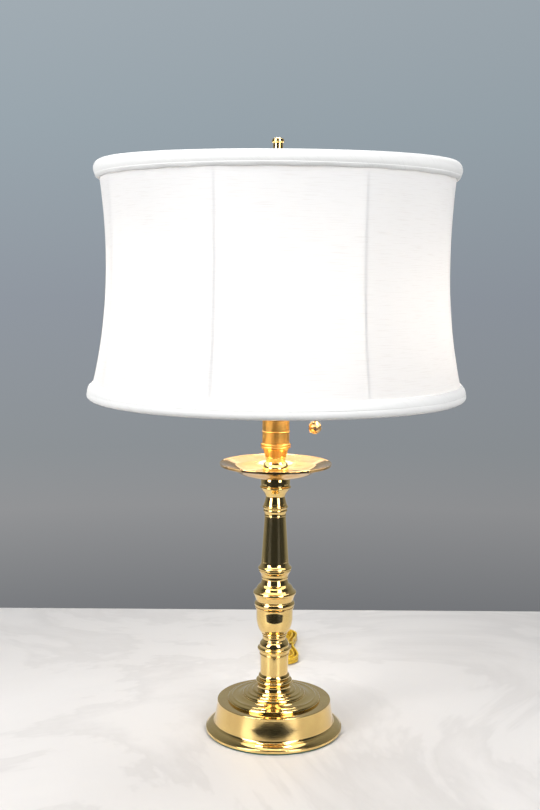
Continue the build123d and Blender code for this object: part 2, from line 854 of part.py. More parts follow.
def finial():
    """Turned knob: flange, waisted body and a flat domed cap."""
    z = FINIAL_Z
    top = z + FINIAL_H
    hole_r = STUD_R + RUN
    deep = z + FINIAL_HOLE_DEPTH
    return turned(
        (hole_r, z),
        (FINIAL_FOOT_R, z),
        (FINIAL_FOOT_R, z + 2.6, 0.7),
        (FINIAL_NECK_R + 0.6, z + 3.6),
        (FINIAL_NECK_R, z + 9.0, -0.3),
        (FINIAL_NECK_R, top - FINIAL_CAP_H),
        (FINIAL_CAP_R - 0.4, top - FINIAL_CAP_H + 0.2),
        (FINIAL_CAP_R - 0.4, top - 2.4, 0.4),
        (FINIAL_CAP_R - 1.4, top - 1.4, 0.3),
        (1.0, top, 0.3),
        (0, top),
        (0, deep),
        (hole_r, deep),
    )


# ---- Shade ---------------------------------------------------------------------------------

def drawn_in(up, waist_r):
    """Radius of the cloth at a height above the bottom ring: two arcs that meet at the waist."""
    if up < WAIST_UP:
        rise = WAIST_UP
        spread = BOTTOM_R - waist_r
    else:
        rise = SHADE_H - WAIST_UP
        spread = TOP_R - waist_r
    bend = (rise ** 2 + spread ** 2) / (2 * spread)
    return waist_r + bend - math.sqrt(bend ** 2 - (up - WAIST_UP) ** 2)


def polar(radius, angle, z):
    turn = math.radians(angle)
    return (radius * math.cos(turn), radius * math.sin(turn), z)


def rib_angle(index):
    return -90 + RIB_TURN + index * 360 / RIB_COUNT


def panel_section(up):
    """Cross-section of one cloth panel: bowed between two ribs."""
    half = 180 / RIB_COUNT
    z = SHADE_BOTTOM_Z + up
    rib_r = drawn_in(up, RIB_WAIST_R)
    mid_r = drawn_in(up, PANEL_WAIST_R)
    far = polar(rib_r, half, z)
    near = polar(rib_r, -half, z)
    far_in = polar(rib_r - CLOTH_T, half, z)
    near_in = polar(rib_r - CLOTH_T, -half, z)
    edges = [
        ThreePointArc(near, (mid_r, 0, z), far),
        Line(far, far_in),
        ThreePointArc(far_in, (mid_r - CLOTH_T, 0, z), near_in),
        Line(near_in, near),
    ]
    return Face(Wire(edges))


def shade_panels():
    """Eight cloth panels, each stretched between two ribs and the two rings."""
    lower = [panel_section(WAIST_UP * step / 4) for step in range(5)]
    upper = [panel_section(WAIST_UP + (SHADE_H - WAIST_UP) * step / 3) for step in range(4)]
    panel = (loft(lower) + loft(upper)).solids()[0]
    return [Rot(0, 0, rib_angle(index) + 180 / RIB_COUNT) * panel for index in range(RIB_COUNT)]


def wire_in(up):
    """Radius of a rib's middle line, just inside the cloth."""
    return drawn_in(up, RIB_WAIST_R) - CLOTH_T - RIB_WIRE_R - FIT


def ring_r(cloth_r):
    """Radius of a ring wire's middle line, just inside the cloth."""
    return cloth_r - CLOTH_T - RING_WIRE_R - RING_SLACK


def shade_bottom_ring():
    return Pos(0, 0, SHADE_BOTTOM_Z) * Torus(ring_r(BOTTOM_R), RING_WIRE_R)


def spider_arm(index, radius):
    """One straight arm from the centre washer out to the top ring."""
    angle = 90 + index * 360 / SPIDER_ARMS
    start = Vector(*polar(SPIDER_HUB_R - 3.0, angle, SPIDER_Z + SPIDER_HUB_T / 2))
    end = Vector(*polar(ring_r(TOP_R), angle, TOP_RING_Z))
    length = (end - start).length
    return Plane(origin=start, z_dir=end - start) * extrude(Circle(radius), length)


def shade_top_frame():
    """Top ring with the fitter: three arms welded to a drilled centre washer."""
    frame = Pos(0, 0, TOP_RING_Z) * Torus(ring_r(TOP_R), RING_WIRE_R)
    for index in range(SPIDER_ARMS):
        frame += spider_arm(index, SPIDER_WIRE_R)
    return frame + tube(SPIDER_HUB_R, STUD_R + RUN, SPIDER_Z, SPIDER_Z + SPIDER_HUB_T)


def shade_ribs():
    """Eight wires bent to the shade's side, welded between the rings."""
    low = RING_WIRE_R
    high = SHADE_H - RING_WIRE_R
    waist = wire_in(WAIST_UP)

    def point(up):
        return (wire_in(up), 0, SHADE_BOTTOM_Z + up)

    lower = ThreePointArc(point(low), point((low + WAIST_UP) / 2), (waist, 0, SHADE_BOTTOM_Z + WAIST_UP))
    upper = ThreePointArc((waist, 0, SHADE_BOTTOM_Z + WAIST_UP), point((high + WAIST_UP) / 2), point(high))
    ribs = []
    for arc in (lower, upper):
        section = Plane(origin=arc @ 0, z_dir=arc % 0) * Circle(RIB_WIRE_R)
        ribs.append(sweep(section, path=arc))
    rib = ribs[0] + ribs[1]
    return [Rot(0, 0, rib_angle(index)) * rib.solids()[0] for index in range(RIB_COUNT)]


def trim(cloth_r, ring_z, sense):
    """Cloth band folded over a ring: a long outer leg, a rolled edge and a short inner leg."""
    outer = cloth_r + FIT
    inner = ring_r(cloth_r) - RING_WIRE_R - FIT
    edge = ring_z - sense * (RING_WIRE_R + FIT)
    rolled = ring_z - sense * (TRIM_OVER + RING_WIRE_R)
    far = ring_z + sense * (TRIM_H - TRIM_OVER - RING_WIRE_R)
    far_r = drawn_in(far - SHADE_BOTTOM_Z, RIB_WAIST_R) + FIT
    lap = ring_z + sense * (TRIM_LAP - TRIM_OVER)
    return turned(
        (outer, edge),
        (outer, ring_z),
        (far_r, far),
        (far_r + TRIM_T * 0.5, far),
        (far_r + TRIM_T, far - sense * 2.0),
        (outer + TRIM_T * 1.4, ring_z),
        (outer + TRIM_T * 0.6, rolled + sense * 0.9, sense * 0.7),
        (outer - 0.5, rolled),
        (inner + 0.2, rolled),
        (inner - TRIM_T * 0.5, rolled + sense * 1.4),
        (inner - TRIM_T * 0.5, lap),
        (inner, lap),
        (inner, edge),
    )


def shade_bottom_trim():
    return trim(BOTTOM_R, SHADE_BOTTOM_Z, 1)


def shade_top_trim():
    """Trim of the top ring, notched round the fitter's arms."""
    band = trim(TOP_R, TOP_RING_Z, -1)
    for index in range(SPIDER_ARMS):
        band -= spider_arm(index, SPIDER_WIRE_R + FIT)
    return band


# ---- Mains cord ----------------------------------------------------------------------------

def cord_bushing():
    """Tapered strain relief in the back of the drum."""
    wall_in = DRUM_TOP_R - BASE_WALL - 2.0
    seat = DRUM_FOOT_R
    body = turned(
        (CORD_R, wall_in),
        (BUSHING_R, wall_in),
        (BUSHING_R, seat),
        (BUSHING_FLANGE_R, seat),
        (BUSHING_FLANGE_R, seat + BUSHING_FLANGE_T - 0.5),
        (BUSHING_FLANGE_R - 0.5, seat + BUSHING_FLANGE_T),
        (BUSHING_R, seat + BUSHING_FLANGE_T),
        (BUSHING_TIP_R, seat + BUSHING_TAIL),
        (CORD_R, seat + BUSHING_TAIL),
    )
    return Pos(0, 0, EXIT_Z) * Rot(-90, 0, 0) * body


def swept(path, radius):
    """Round bar along a path, with its volume compared with section times length."""
    section = Plane(origin=path @ 0, z_dir=path % 0) * Circle(radius)
    bar = sweep(section, path=path)
    ratio = bar.volume / (math.pi * radius ** 2 * path.length)
    print(f"swept bar: {path.length:.1f} mm long, volume ratio {ratio:.5f}")
    return bar


def feed_cord():
    """Cord inside the lamp: from the bushing down to the middle, then up the rod to the hub."""
    path = FilletPolyline(
        (0, DRUM_FOOT_R + BUSHING_TAIL - FIT, EXIT_Z),
        (0, DRUM_TOP_R - FEED_STRAIGHT, EXIT_Z),
        (0, FEED_TURN_Y, FEED_LOW),
        (0, 0, FEED_LOW),
        (0, 0, HUB_Z + ROD_GRIP - 1.0),
        radius=FEED_BEND_R,
    )
    return swept(path, FEED_R)


def lead_points():
    """Route of the free stretch: out of the bushing, down to the table and on to the hank."""
    low = HANK_LIFT + CORD_R
    start_x = HANK_X - HANK_IN_R - HANK_TURNS * HANK_PITCH / 2
    return [
        (0, DRUM_FOOT_R + BUSHING_TAIL, EXIT_Z),
        (0, 107.0, 18.4),
        (-0.8, 123.0, 12.4),
        (-2.4, 139.0, 6.4),
        (-5.2, 157.0, low + 0.3),
        (-9.2, 177.0, low),
        (-12.6, 197.0, low),
        (start_x, 217.0, low),
        (start_x, HANK_NEAR_Y - 2 * CORD_R, low),
    ]


def corner_radii(points):
    """Largest arc at each corner that its two runs allow."""
    radii = []
    for before, corner, after in zip(points, points[1:], points[2:]):
        into = Vector(*corner) - Vector(*before)
        out = Vector(*after) - Vector(*corner)
        half_turn = math.radians(into.get_angle(out)) / 2
        radii.append(0.45 * min(into.length, out.length) / math.tan(half_turn))
    return radii


def cord_lead():
    points = lead_points()
    radii = corner_radii(points)
    print("cord lead radii:", [round(radius, 1) for radius in radii])
    return swept(FilletPolyline(*points, radius=radii), CORD_R)


def hank_path():
    """Two layers of long loops drawn in at the waist: spiral in, climb along a run, spiral out."""
    low = HANK_LIFT + CORD_R
    middle_y = (HANK_NEAR_Y + HANK_FAR_Y) / 2
    steps = list(range(HANK_TURNS, 0, -1)) + list(range(HANK_TURNS + 1))
    top = low + HANK_LAYER + CORD_R + TIE_T + PLUG_H / 2 + 0.3
    edges = []

    def ease(start, end, heading):
        """S-bend of two arcs that starts and ends along the run."""
        middle = (start + end) / 2
        edges.append(TangentArc(start, middle, tangent=heading))
        edges.append(TangentArc(middle, end, tangent=edges[-1] % 1))

    def run_x(index):
        side = -1 if index % 2 == 0 else 1
        return HANK_X + side * (HANK_IN_R + steps[index] * HANK_PITCH / 2)

    height = low
    here = Vector(run_x(0), HANK_NEAR_Y, low)
    edges.append(Line(here - Vector(0, 2 * CORD_R, 0), here))
    for index in range(len(steps)):
        outward = index % 2 == 0
        heading = Vector(0, 1 if outward else -1, 0)
        inward = 1 if outward else -1
        last = index == len(steps) - 1
        if index == HANK_TURNS:
            height = low + HANK_LAYER
        if last:
            height = top
        end_y = HANK_FAR_Y if outward else HANK_NEAR_Y
        waist_z = here.Z if last else (here.Z + height) / 2
        waist = Vector(here.X + inward * HANK_DRAWN, middle_y, waist_z)
        end = Vector(here.X, end_y, height)
        ease(here, waist, heading)
        ease(waist, end, heading)
        next_x = HANK_X - PLUG_X_IN if last else run_x(index + 1)
        there = Vector(next_x, end_y, height)
        bulge = heading * abs(there.X - end.X) / 2
        edges.append(ThreePointArc(end, (end + there) / 2 + bulge, there))
        here = there
    edges.append(Line(here, here - Vector(0, PLUG_LEAD, 0)))
    return Wire(edges)


def least_gap(path, radius):
    """Least gap of a wound tube to itself, on points along its path."""
    spacing = 2.0
    count = int(path.length / spacing)
    points = [path @ (index / count) for index in range(count + 1)]
    skip = int(6 * radius / spacing) + 1
    least = min((points[i] - points[j]).length
                for i in range(len(points)) for j in range(i + skip, len(points)))
    return least - 2 * radius


def cord_hank():
    path = hank_path()
    print(f"hank: {path.length:.1f} mm, least gap {least_gap(path, CORD_R):.2f} mm")
    return swept(path, CORD_R)


def hank_tie():
    """Flat band round the hank's waist."""
    low = HANK_LIFT + CORD_R
    top = low + HANK_LAYER
    outermost = HANK_IN_R + HANK_TURNS * HANK_PITCH / 2 - HANK_DRAWN
    left = HANK_X - outermost - CORD_R - 0.15
    right = HANK_X + outermost - HANK_PITCH / 2 + CORD_R + 0.15
    inner = RectangleRounded(right - left, top + CORD_R + 0.15 - TIE_T, CORD_R)
    outer = RectangleRounded(right - left + 2 * TIE_T, top + CORD_R + 0.15 + TIE_T, CORD_R + TIE_T)
    band = extrude(outer - inner, TIE_W / 2, both=True)
    middle_z = (top + CORD_R + 0.15 + TIE_T) / 2
    return Pos((left + right) / 2, (HANK_NEAR_Y + HANK_FAR_Y) / 2, middle_z) * Rot(90, 0, 0) * band


def plug_place():
    """Back of the plug, with Z pointing out towards the blades."""
    end = hank_path() @ 1
    return Pos(end) * Rot(90, 0, 0)


def plug_body():
    """Flat moulded plug, slightly waisted towards the cord."""
    back = RectangleRounded(PLUG_W * 0.55, PLUG_H * 0.75, 3.0)
    front = Pos(0, 0, PLUG_L * 0.45) * RectangleRounded(PLUG_W, PLUG_H, 4.0)
    body = loft([back.face(), front.face()])
    body += Pos(0, 0, PLUG_L * 0.45) * extrude(RectangleRounded(PLUG_W, PLUG_H, 4.0), PLUG_L * 0.55)
    return plug_place() * body


def plug_blades():
    """Two flat blades with a round hole near the tip."""
    blades = Part()
    for side in (-1, 1):
        blade = Pos(side * BLADE_GAP / 2, 0, PLUG_L + BLADE_L / 2) * Box(BLADE_T, BLADE_W, BLADE_L)
        blade = fillet(blade.edges().filter_by(Axis.X).group_by(Axis.Z)[-1], 1.5)
        blade -= Pos(side * BLADE_GAP / 2, 0, PLUG_L + BLADE_L - 4.0) * Rot(0, 90, 0) * Cylinder(1.6, 4)
        blades += blade
    return plug_place() * blades


# ---- Write every node ----------------------------------------------------------------------

os.makedirs("parts", exist_ok=True)

save(felt_pad(), "felt_pad")
save(base_shell(), "base_shell")
save(base_weight(), "base_weight")
save(base_washer(), "base_washer")
save(base_locknut(), "base_locknut")
save(threaded_rod(), "threaded_rod")
save(stem_foot(), "stem_foot")
save(lower_sleeve(), "lower_sleeve")
save(lower_collar(), "lower_collar")
save(urn(), "urn")
save(urn_ring(), "urn_ring")
save(knop(), "knop")
save(bell_collar(), "bell_collar")
save(tapered_column(), "tapered_column")
save(upper_collar(), "upper_collar")
save(candle_cup(), "candle_cup")
save(drip_pan(), "drip_pan")
save(pan_neck(), "pan_neck")
save(cluster_cap(), "cluster_cap")
save(cluster_body(), "cluster_body")
save(cluster_hub(), "cluster_hub")
save(cluster_nipples(), "cluster_nipples")
save(socket_liners(), "socket_liners")
save(screw_shells(), "screw_shells")
save(centre_contacts(), "centre_contacts")
for side in SIDES:
    save(socket_cap(side), f"socket_cap_{side}")
    save(socket_shell(side), f"socket_shell_{side}")
    save(socket_core(side), f"socket_core_{side}")
    save(switch_cam(side), f"switch_cam_{side}")
    save(chain_guide(side), f"chain_guide_{side}")
    save(pull_chain(side), f"pull_chain_{side}")
    save(pull_ball(side), f"pull_ball_{side}")
    save(bulb_base(side), f"bulb_base_{side}")
    save(bulb_glass(side), f"bulb_glass_{side}")
save(riser_nut(), "riser_nut")
save(riser_tube(), "riser_tube")
save(riser_tip(), "riser_tip")
save(finial(), "finial")
save(shade_bottom_ring(), "shade_bottom_ring")
save(shade_top_frame(), "shade_top_frame")
save(shade_ribs(), "shade_ribs")
save(shade_panels(), "shade_panels")
save(shade_bottom_trim(), "shade_bottom_trim")
save(shade_top_trim(), "shade_top_trim")
save(cord_bushing(), "cord_bushing")
save(feed_cord(), "feed_cord")
save(cord_lead(), "cord_lead")
save(cord_hank(), "cord_hank")
save(hank_tie(), "hank_tie")
save(plug_body(), "plug_body")
save(plug_blades(), "plug_blades")
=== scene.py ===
# %% [markdown]
# # A candlestick lamp with a waisted cloth shade
# The lamp is a stack of turned brass pieces drawn together on one threaded rod. It stands on a
# spun, weighted base. Above its drip pan two pull-chain sockets lean outwards under a shade of
# eight stretched cloth panels. The CAD model is loaded first: it fixes every place and size.
# Lengths below are in millimetres, as on a drawing, and MM turns them to Blender's metres.

import json
import math

import bpy
from mathutils import Matrix, Vector


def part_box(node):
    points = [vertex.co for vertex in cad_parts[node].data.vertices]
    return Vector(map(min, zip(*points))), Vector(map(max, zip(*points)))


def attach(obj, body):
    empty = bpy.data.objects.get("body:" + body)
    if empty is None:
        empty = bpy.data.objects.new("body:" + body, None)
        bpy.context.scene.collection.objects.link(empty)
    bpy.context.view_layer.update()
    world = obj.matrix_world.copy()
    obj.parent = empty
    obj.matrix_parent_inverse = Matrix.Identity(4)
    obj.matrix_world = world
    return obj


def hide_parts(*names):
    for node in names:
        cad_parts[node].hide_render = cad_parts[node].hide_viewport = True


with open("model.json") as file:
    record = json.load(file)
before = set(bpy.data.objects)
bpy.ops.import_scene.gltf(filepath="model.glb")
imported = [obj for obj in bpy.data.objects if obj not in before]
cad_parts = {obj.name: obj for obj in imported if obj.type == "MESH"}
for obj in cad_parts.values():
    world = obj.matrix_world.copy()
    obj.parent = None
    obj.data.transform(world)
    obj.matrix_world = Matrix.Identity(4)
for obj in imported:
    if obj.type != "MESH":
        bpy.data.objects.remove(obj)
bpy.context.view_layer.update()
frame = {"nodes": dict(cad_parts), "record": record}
MM = 0.001

# %% [markdown]
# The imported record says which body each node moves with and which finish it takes. Two small
# tables of that save naming them again for every piece.

# %% Look up bodies and finishes
SLOT_OF = {part["node"]: part["material_slot"] for part in frame["record"]["subparts"]}
BODIES = frame["record"]["behaviour"]["bodies"]
BODY_OF = {node: body for body, nodes in BODIES.items() for node in nodes}
FINISH = {}

# %% [markdown]
# ## Camera
# The photograph is upright, taken from a little above the bulbs and tipped down by under seven
# degrees. Its place was worked out from how flat the rims of the base, pan and shade look. The
# camera could be tracked to an empty, but typed angles are plainer. A hair of roll makes the stem
# lean as it does in the picture.

# %% Set the camera
CAMERA_AT = (-0.0070, -1.3180, 0.5396)
CAMERA_DOWN = 6.67
CAMERA_ROLL = 0.40
bpy.ops.object.camera_add(location=CAMERA_AT)
camera = bpy.context.object
camera.name = "camera"
tip = Matrix.Rotation(math.radians(90 - CAMERA_DOWN), 3, "X")
roll = Matrix.Rotation(math.radians(CAMERA_ROLL), 3, "Z")
camera.rotation_euler = (tip @ roll).to_euler()
camera.data.lens = 51.4
camera.data.sensor_width = 36
bpy.context.scene.camera = camera

# %% [markdown]
# ## Studio
# Polished brass shows the room more than itself, so the room matters as much as the metal. The
# real one was dark behind the photographer, with two soft lamps high in front, a third one above
# the shade and a grey wall behind. The table top is a pale slab that ends not far in front of the
# lamp: that is why the upright parts look dark in the middle and what faces down looks light gold.
# The wall is painted by the world, so that it is there from every side and never in the way; its shading,
# darker low down and towards the right, is painted too.

# %% Colours and nodes
def linear(hex_colour):
    """Blender's linear colour from an sRGB hex value."""
    values = [int(hex_colour[i:i + 2], 16) / 255 for i in (1, 3, 5)]
    return tuple(v / 12.92 if v <= 0.04045 else ((v + 0.055) / 1.055) ** 2.4 for v in values) + (1.0,)


def add(tree, kind, values=None, links=None, stops=None, **settings):
    """Adds a shader node: its settings, its sockets' values, a ramp's stops and what feeds it."""
    node = tree.nodes.new("ShaderNode" + kind)
    for name, value in settings.items():
        setattr(node, name, value)
    for name, value in (values or {}).items():
        node.inputs[name].default_value = value
    for name, source in (links or {}).items():
        tree.links.new(source, node.inputs[name])
    for index, (place, colour) in enumerate(stops or []):
        if index >= len(node.color_ramp.elements):
            node.color_ramp.elements.new(place)
        node.color_ramp.elements[index].position = place
        node.color_ramp.elements[index].color = linear(colour)
    return node


# %% World: grey wall for the camera, dark room for the reflections
bpy.context.scene.view_settings.view_transform = "Standard"
world = bpy.data.worlds.new("studio")
bpy.context.scene.world = world
world.use_nodes = True
sky = world.node_tree
sky.nodes.clear()
way = add(sky, "SeparateXYZ", links={"Vector": add(sky, "TexCoord").outputs["Generated"]})
# Painted shade: the wall that the camera sees is painted darker low down, towards the table, and a little
# darker towards the right, where less light falls on it.
up = add(sky, "MapRange", {"From Min": -0.30, "From Max": 0.25}, {"Value": way.outputs["Z"]})
wall = add(sky, "ValToRGB", links={"Fac": up.outputs["Result"]},
           stops=[(0.02, "#75777A"), (0.18, "#919294"), (0.27, "#8C9195"),
                  (0.50, "#8F969F"), (0.76, "#98A4AC"), (1.0, "#A2ACB3")])
side = add(sky, "MapRange", {"From Min": -0.25, "From Max": 0.25, "To Min": 1.03, "To Max": 0.93},
           {"Value": way.outputs["X"]})
back = add(sky, "MapRange", {"From Min": -1.0, "From Max": 1.0}, {"Value": way.outputs["Y"]})
room = add(sky, "ValToRGB", links={"Fac": back.outputs["Result"]},
           stops=[(0.0, "#2E3236"), (0.45, "#3C4044"), (0.62, "#777A7C"), (1.0, "#A2A6A8")])
seen = add(sky, "Background", links={"Color": wall.outputs["Color"], "Strength": side.outputs["Result"]})
mirrored = add(sky, "Background", {"Strength": 1.0}, {"Color": room.outputs["Color"]})
choice = add(sky, "MixShader", links={"Fac": add(sky, "LightPath").outputs["Is Camera Ray"]})
sky.links.new(mirrored.outputs["Background"], choice.inputs[1])
sky.links.new(seen.outputs["Background"], choice.inputs[2])
add(sky, "OutputWorld", links={"Surface": choice.outputs["Shader"]})


# %% [markdown]
# Each soft lamp is an area light: a rectangle that glows evenly, as a softbox does. Every bead on
# the stem shows the front pair as two white spots, the left one further out, and that gives their
# directions. All three are aimed at the middle of the stem. A spotlight would throw hard shadows
# on the table, which the picture doesn't have.

# %% Three soft lamps
STEM_MIDDLE = Vector((0, 0, 0.25))


def soft_lamp(name, turn, rise, reach, width, height, watts):
    """Area light at an angle round the lamp and above the table, aimed at the stem."""
    turn, rise = math.radians(turn), math.radians(rise)
    level = math.cos(rise)
    away = Vector((math.sin(turn) * level, -math.cos(turn) * level, math.sin(rise)))
    bpy.ops.object.light_add(type="AREA", location=STEM_MIDDLE + away * reach)
    lamp = bpy.context.object
    lamp.name = name
    lamp.rotation_euler = away.to_track_quat("Z", "Y").to_euler()
    lamp.data.shape = "RECTANGLE"
    lamp.data.size = width
    lamp.data.size_y = height
    lamp.data.energy = watts


soft_lamp("soft_lamp_left", -50, 28, 1.6, 0.65, 1.45, 24)
soft_lamp("soft_lamp_right", 36, 28, 1.6, 0.55, 1.45, 20)
soft_lamp("top_lamp_behind", 180, 62, 1.5, 0.9, 0.6, 15)

# %% [markdown]
# ## Table
# A pale stone slab. Its back edge is in the picture, so it is a real slab with an edge, not an
# endless floor. The veins are kept faint: it is only the ground that the lamp stands on.

# %% Table top
TABLE_W, TABLE_FRONT, TABLE_BACK, TABLE_T = 2200, -272, 482, 30


def apply_place():
    """Applies the place, turn and size of the selected object to its mesh."""
    bpy.ops.object.transform_apply(location=True, rotation=True, scale=True)


table_mid = (0, (TABLE_FRONT + TABLE_BACK) / 2 * MM, -TABLE_T / 2 * MM)
table_size = (TABLE_W * MM, (TABLE_BACK - TABLE_FRONT) * MM, TABLE_T * MM)
bpy.ops.object.select_all(action="DESELECT")
bpy.ops.mesh.primitive_cube_add(size=1, location=table_mid, scale=table_size)
table = bpy.context.object
table.name = "table"
apply_place()
bpy.ops.object.mode_set(mode="EDIT")
bpy.ops.mesh.bevel(offset=2 * MM, segments=3, affect="EDGES")
bpy.ops.object.mode_set(mode="OBJECT")


# %% Its stone, and what every finish needs
def new_finish(name):
    """An empty material with a Principled surface on its output."""
    material = bpy.data.materials.new(name)
    material.use_nodes = True
    tree = material.node_tree
    tree.nodes.clear()
    surface = add(tree, "BsdfPrincipled")
    add(tree, "OutputMaterial", links={"Surface": surface.outputs["BSDF"]})
    return material, tree, surface


def set_up(tree, surface, links, values):
    """Feeds some of a surface's sockets from nodes and sets others to a value."""
    for name, source in links.items():
        tree.links.new(source, surface.inputs[name])
    for name, value in values.items():
        surface.inputs[name].default_value = value


def noise(tree, place, size_mm, values, **settings):
    """Noise whose spots have a real size."""
    return add(tree, "TexNoise", {"Scale": 1000 / size_mm, **values}, {"Vector": place}, **settings)


def bump(tree, height, depth_mm, strength=1.0):
    """A normal for relief of a real depth."""
    relief = add(tree, "Bump", {"Strength": strength, "Distance": depth_mm * MM}, {"Height": height})
    return relief.outputs["Normal"]


stone, tree, surface = new_finish("honed pale stone")
spot = add(tree, "TexCoord").outputs["Object"]
veins = noise(tree, spot, 625, {"Detail": 6.0, "Roughness": 0.62, "Distortion": 1.4})
tone = add(tree, "ValToRGB", links={"Fac": veins.outputs["Fac"]},
           stops=[(0.40, "#D0CECD"), (0.475, "#C7C5C4"), (0.50, "#CFCDCC"), (0.70, "#D3D1D0")])
set_up(tree, surface, {"Base Color": tone.outputs["Color"]}, {"Roughness": 0.45})
table.data.materials.append(stone)

# %% [markdown]
# ## Brass
# The metal is brass, turned on a lathe or spun over a former, then buffed and lacquered. That
# gives a mirror with very fine rings round the axis, a clear film over it, and after some years a
# few dull smudges and pin-prick spots where the lacquer has failed. The rings are drawn 0.5 mm
# apart, coarser than the real ones, so that they show at all. They follow the radius and the
# height, so they run round the walls and also round the flat ledges, as on a real lathe.
# The mirror alone would be too clean. Fine rings also smear a little light across themselves, so a
# share of a second, stretched reflection is mixed in: most in the smudges, and much more on the
# tube under the bulbs, whose lacquer has dulled in their heat.

# %% Polished brass
def mix_in(tree, surface, second, mix):
    """Sends the first and the second surface through a mix to the material's output."""
    tree.links.new(surface.outputs["BSDF"], mix.inputs[1])
    tree.links.new(second.outputs["BSDF"], mix.inputs[2])
    output = next(node for node in tree.nodes if node.type == "OUTPUT_MATERIAL")
    tree.links.new(mix.outputs["Shader"], output.inputs["Surface"])


def brass_finish(name, clean, aged, rough, ring_mm, ring_depth_mm, haze, pale=0.55, spread=0.32, drawn=0.8):
    """Lathe-turned brass: rings round the axis, smudges in colour and gloss, haze across the rings."""
    material, tree, surface = new_finish(name)
    spot = add(tree, "TexCoord").outputs["Object"]
    part = add(tree, "SeparateXYZ", links={"Vector": spot})
    across = add(tree, "CombineXYZ", links={"X": part.outputs["X"], "Y": part.outputs["Y"]})
    radius = add(tree, "VectorMath", links={"Vector": across.outputs["Vector"]}, operation="LENGTH")
    rings = add(tree, "CombineXYZ", links={"X": radius.outputs["Value"], "Y": part.outputs["Z"]})
    lines = noise(tree, rings.outputs["Vector"], ring_mm, {"Detail": 2.0}, noise_dimensions="2D")
    smudge = noise(tree, spot, 32, {"Detail": 5.0, "Roughness": 0.6}).outputs["Fac"]
    speck = noise(tree, spot, 2.4, {"Detail": 3.0}).outputs["Fac"]
    tone = add(tree, "ValToRGB", links={"Fac": smudge}, stops=[(0.35, clean), (0.75, aged)])
    spots = add(tree, "ValToRGB", links={"Fac": speck}, stops=[(0.70, "#FFFFFF"), (0.78, "#C9A37A")])
    colour = add(tree, "MixRGB", {"Fac": 0.7}, blend_type="MULTIPLY",
                 links={"Color1": tone.outputs["Color"], "Color2": spots.outputs["Color"]}).outputs["Color"]
    dull = add(tree, "MapRange", {"From Min": 0.35, "From Max": 0.8, "To Min": rough, "To Max": rough + 0.10},
               {"Value": smudge}).outputs["Result"]
    relief = bump(tree, lines.outputs["Fac"], ring_depth_mm)
    set_up(tree, surface, {"Base Color": colour, "Roughness": dull, "Normal": relief},
           {"Metallic": 1.0, "Coat Weight": 0.35, "Coat Roughness": 0.04})
    round_axis = add(tree, "Tangent", direction_type="RADIAL", axis="Z").outputs["Tangent"]
    film = add(tree, "MixRGB", {"Fac": pale, "Color2": linear("#FBF3E2")}, {"Color1": colour})
    smeared = add(tree, "BsdfAnisotropic", {"Roughness": spread, "Anisotropy": drawn},
                  {"Color": film.outputs["Color"], "Normal": relief, "Tangent": round_axis})
    share = add(tree, "MapRange", {"From Min": 0.35, "From Max": 0.75, "To Min": 0.6 * haze,
                                   "To Max": 1.5 * haze}, {"Value": smudge})
    mix_in(tree, surface, smeared, add(tree, "MixShader", links={"Fac": share.outputs["Result"]}))
    return material


FINISH["polished_brass"] = brass_finish("polished lacquered brass", "#F3D387", "#EAC47A", 0.05, 0.5, 0.003,
                                        0.026)
# Painted warm light: this copy of the brass, for the cup, tube and block under the bulbs, is coloured a deeper
# orange for the bulbs' warm light on them; its heavier haze is the lacquer dulled by their heat.
BRASS_PAINTED_WARM = brass_finish("dulled brass painted warm for the bulbs", "#F8C76E", "#EDAE52", 0.09, 0.5, 0.004, 0.62,
                          pale=0.0, spread=0.55, drawn=0.45)
# Painted shade: the pan's brass is a darker, warmer copy of the polished brass, which holds back the bright
# reflection of the lit shade inside the pan.
PAN_BRASS_PAINTED_DARK = brass_finish("sheet brass of the pan", "#E2BC7E", "#D8AB68", 0.05, 0.5, 0.003, 0.05)
FINISH["socket_brass"] = brass_finish("bright-dipped socket brass", "#EBC57C", "#D3A056", 0.16, 0.8, 0.008,
                                      0.2)
FINISH["chain_brass"] = brass_finish("bright brass chain and ball", "#F2C983", "#DDA75C", 0.08, 0.8, 0.002,
                                     0.2)
FINISH["plug_blade"] = brass_finish("stamped brass blade", "#E8CC93", "#CFA564", 0.22, 1.2, 0.010, 0.2)

# %% [markdown]
# ## Other hard finishes
# These are the metals and plastics that carry the lamp, mostly inside it: zinc-plated steel for
# the rod, washer, nuts and nipples, sand-cast iron for the weight, white stoved enamel on the
# shade's wires, aluminium bulb caps, and moulded plastics. Each has one noise at the size of its
# real grain, which moves its colour, its gloss and its surface together.

# %% One grain for colour, gloss and relief
def grained_finish(name, dark, light, grain_mm, depth_mm, rough, metal=0.0):
    """A hard finish with a grain of its own size."""
    material, tree, surface = new_finish(name)
    spot = add(tree, "TexCoord").outputs["Object"]
    grain = noise(tree, spot, grain_mm, {"Detail": 4.0, "Roughness": 0.55}).outputs["Fac"]
    cloud = noise(tree, spot, 30, {"Detail": 3.0}).outputs["Fac"]
    faint = add(tree, "Math", {1: 0.5}, {0: grain}, operation="MULTIPLY").outputs["Value"]
    mixed = add(tree, "Math", links={0: cloud, 1: faint}, operation="ADD").outputs["Value"]
    tone = add(tree, "ValToRGB", links={"Fac": mixed}, stops=[(0.45, dark), (1.0, light)])
    gloss = add(tree, "MapRange", {"From Min": 0.5, "From Max": 1.0, "To Min": rough - 0.06,
                                   "To Max": rough + 0.08}, {"Value": mixed}).outputs["Result"]
    set_up(tree, surface, {"Base Color": tone.outputs["Color"], "Roughness": gloss,
                           "Normal": bump(tree, grain, depth_mm)}, {"Metallic": metal})
    return material


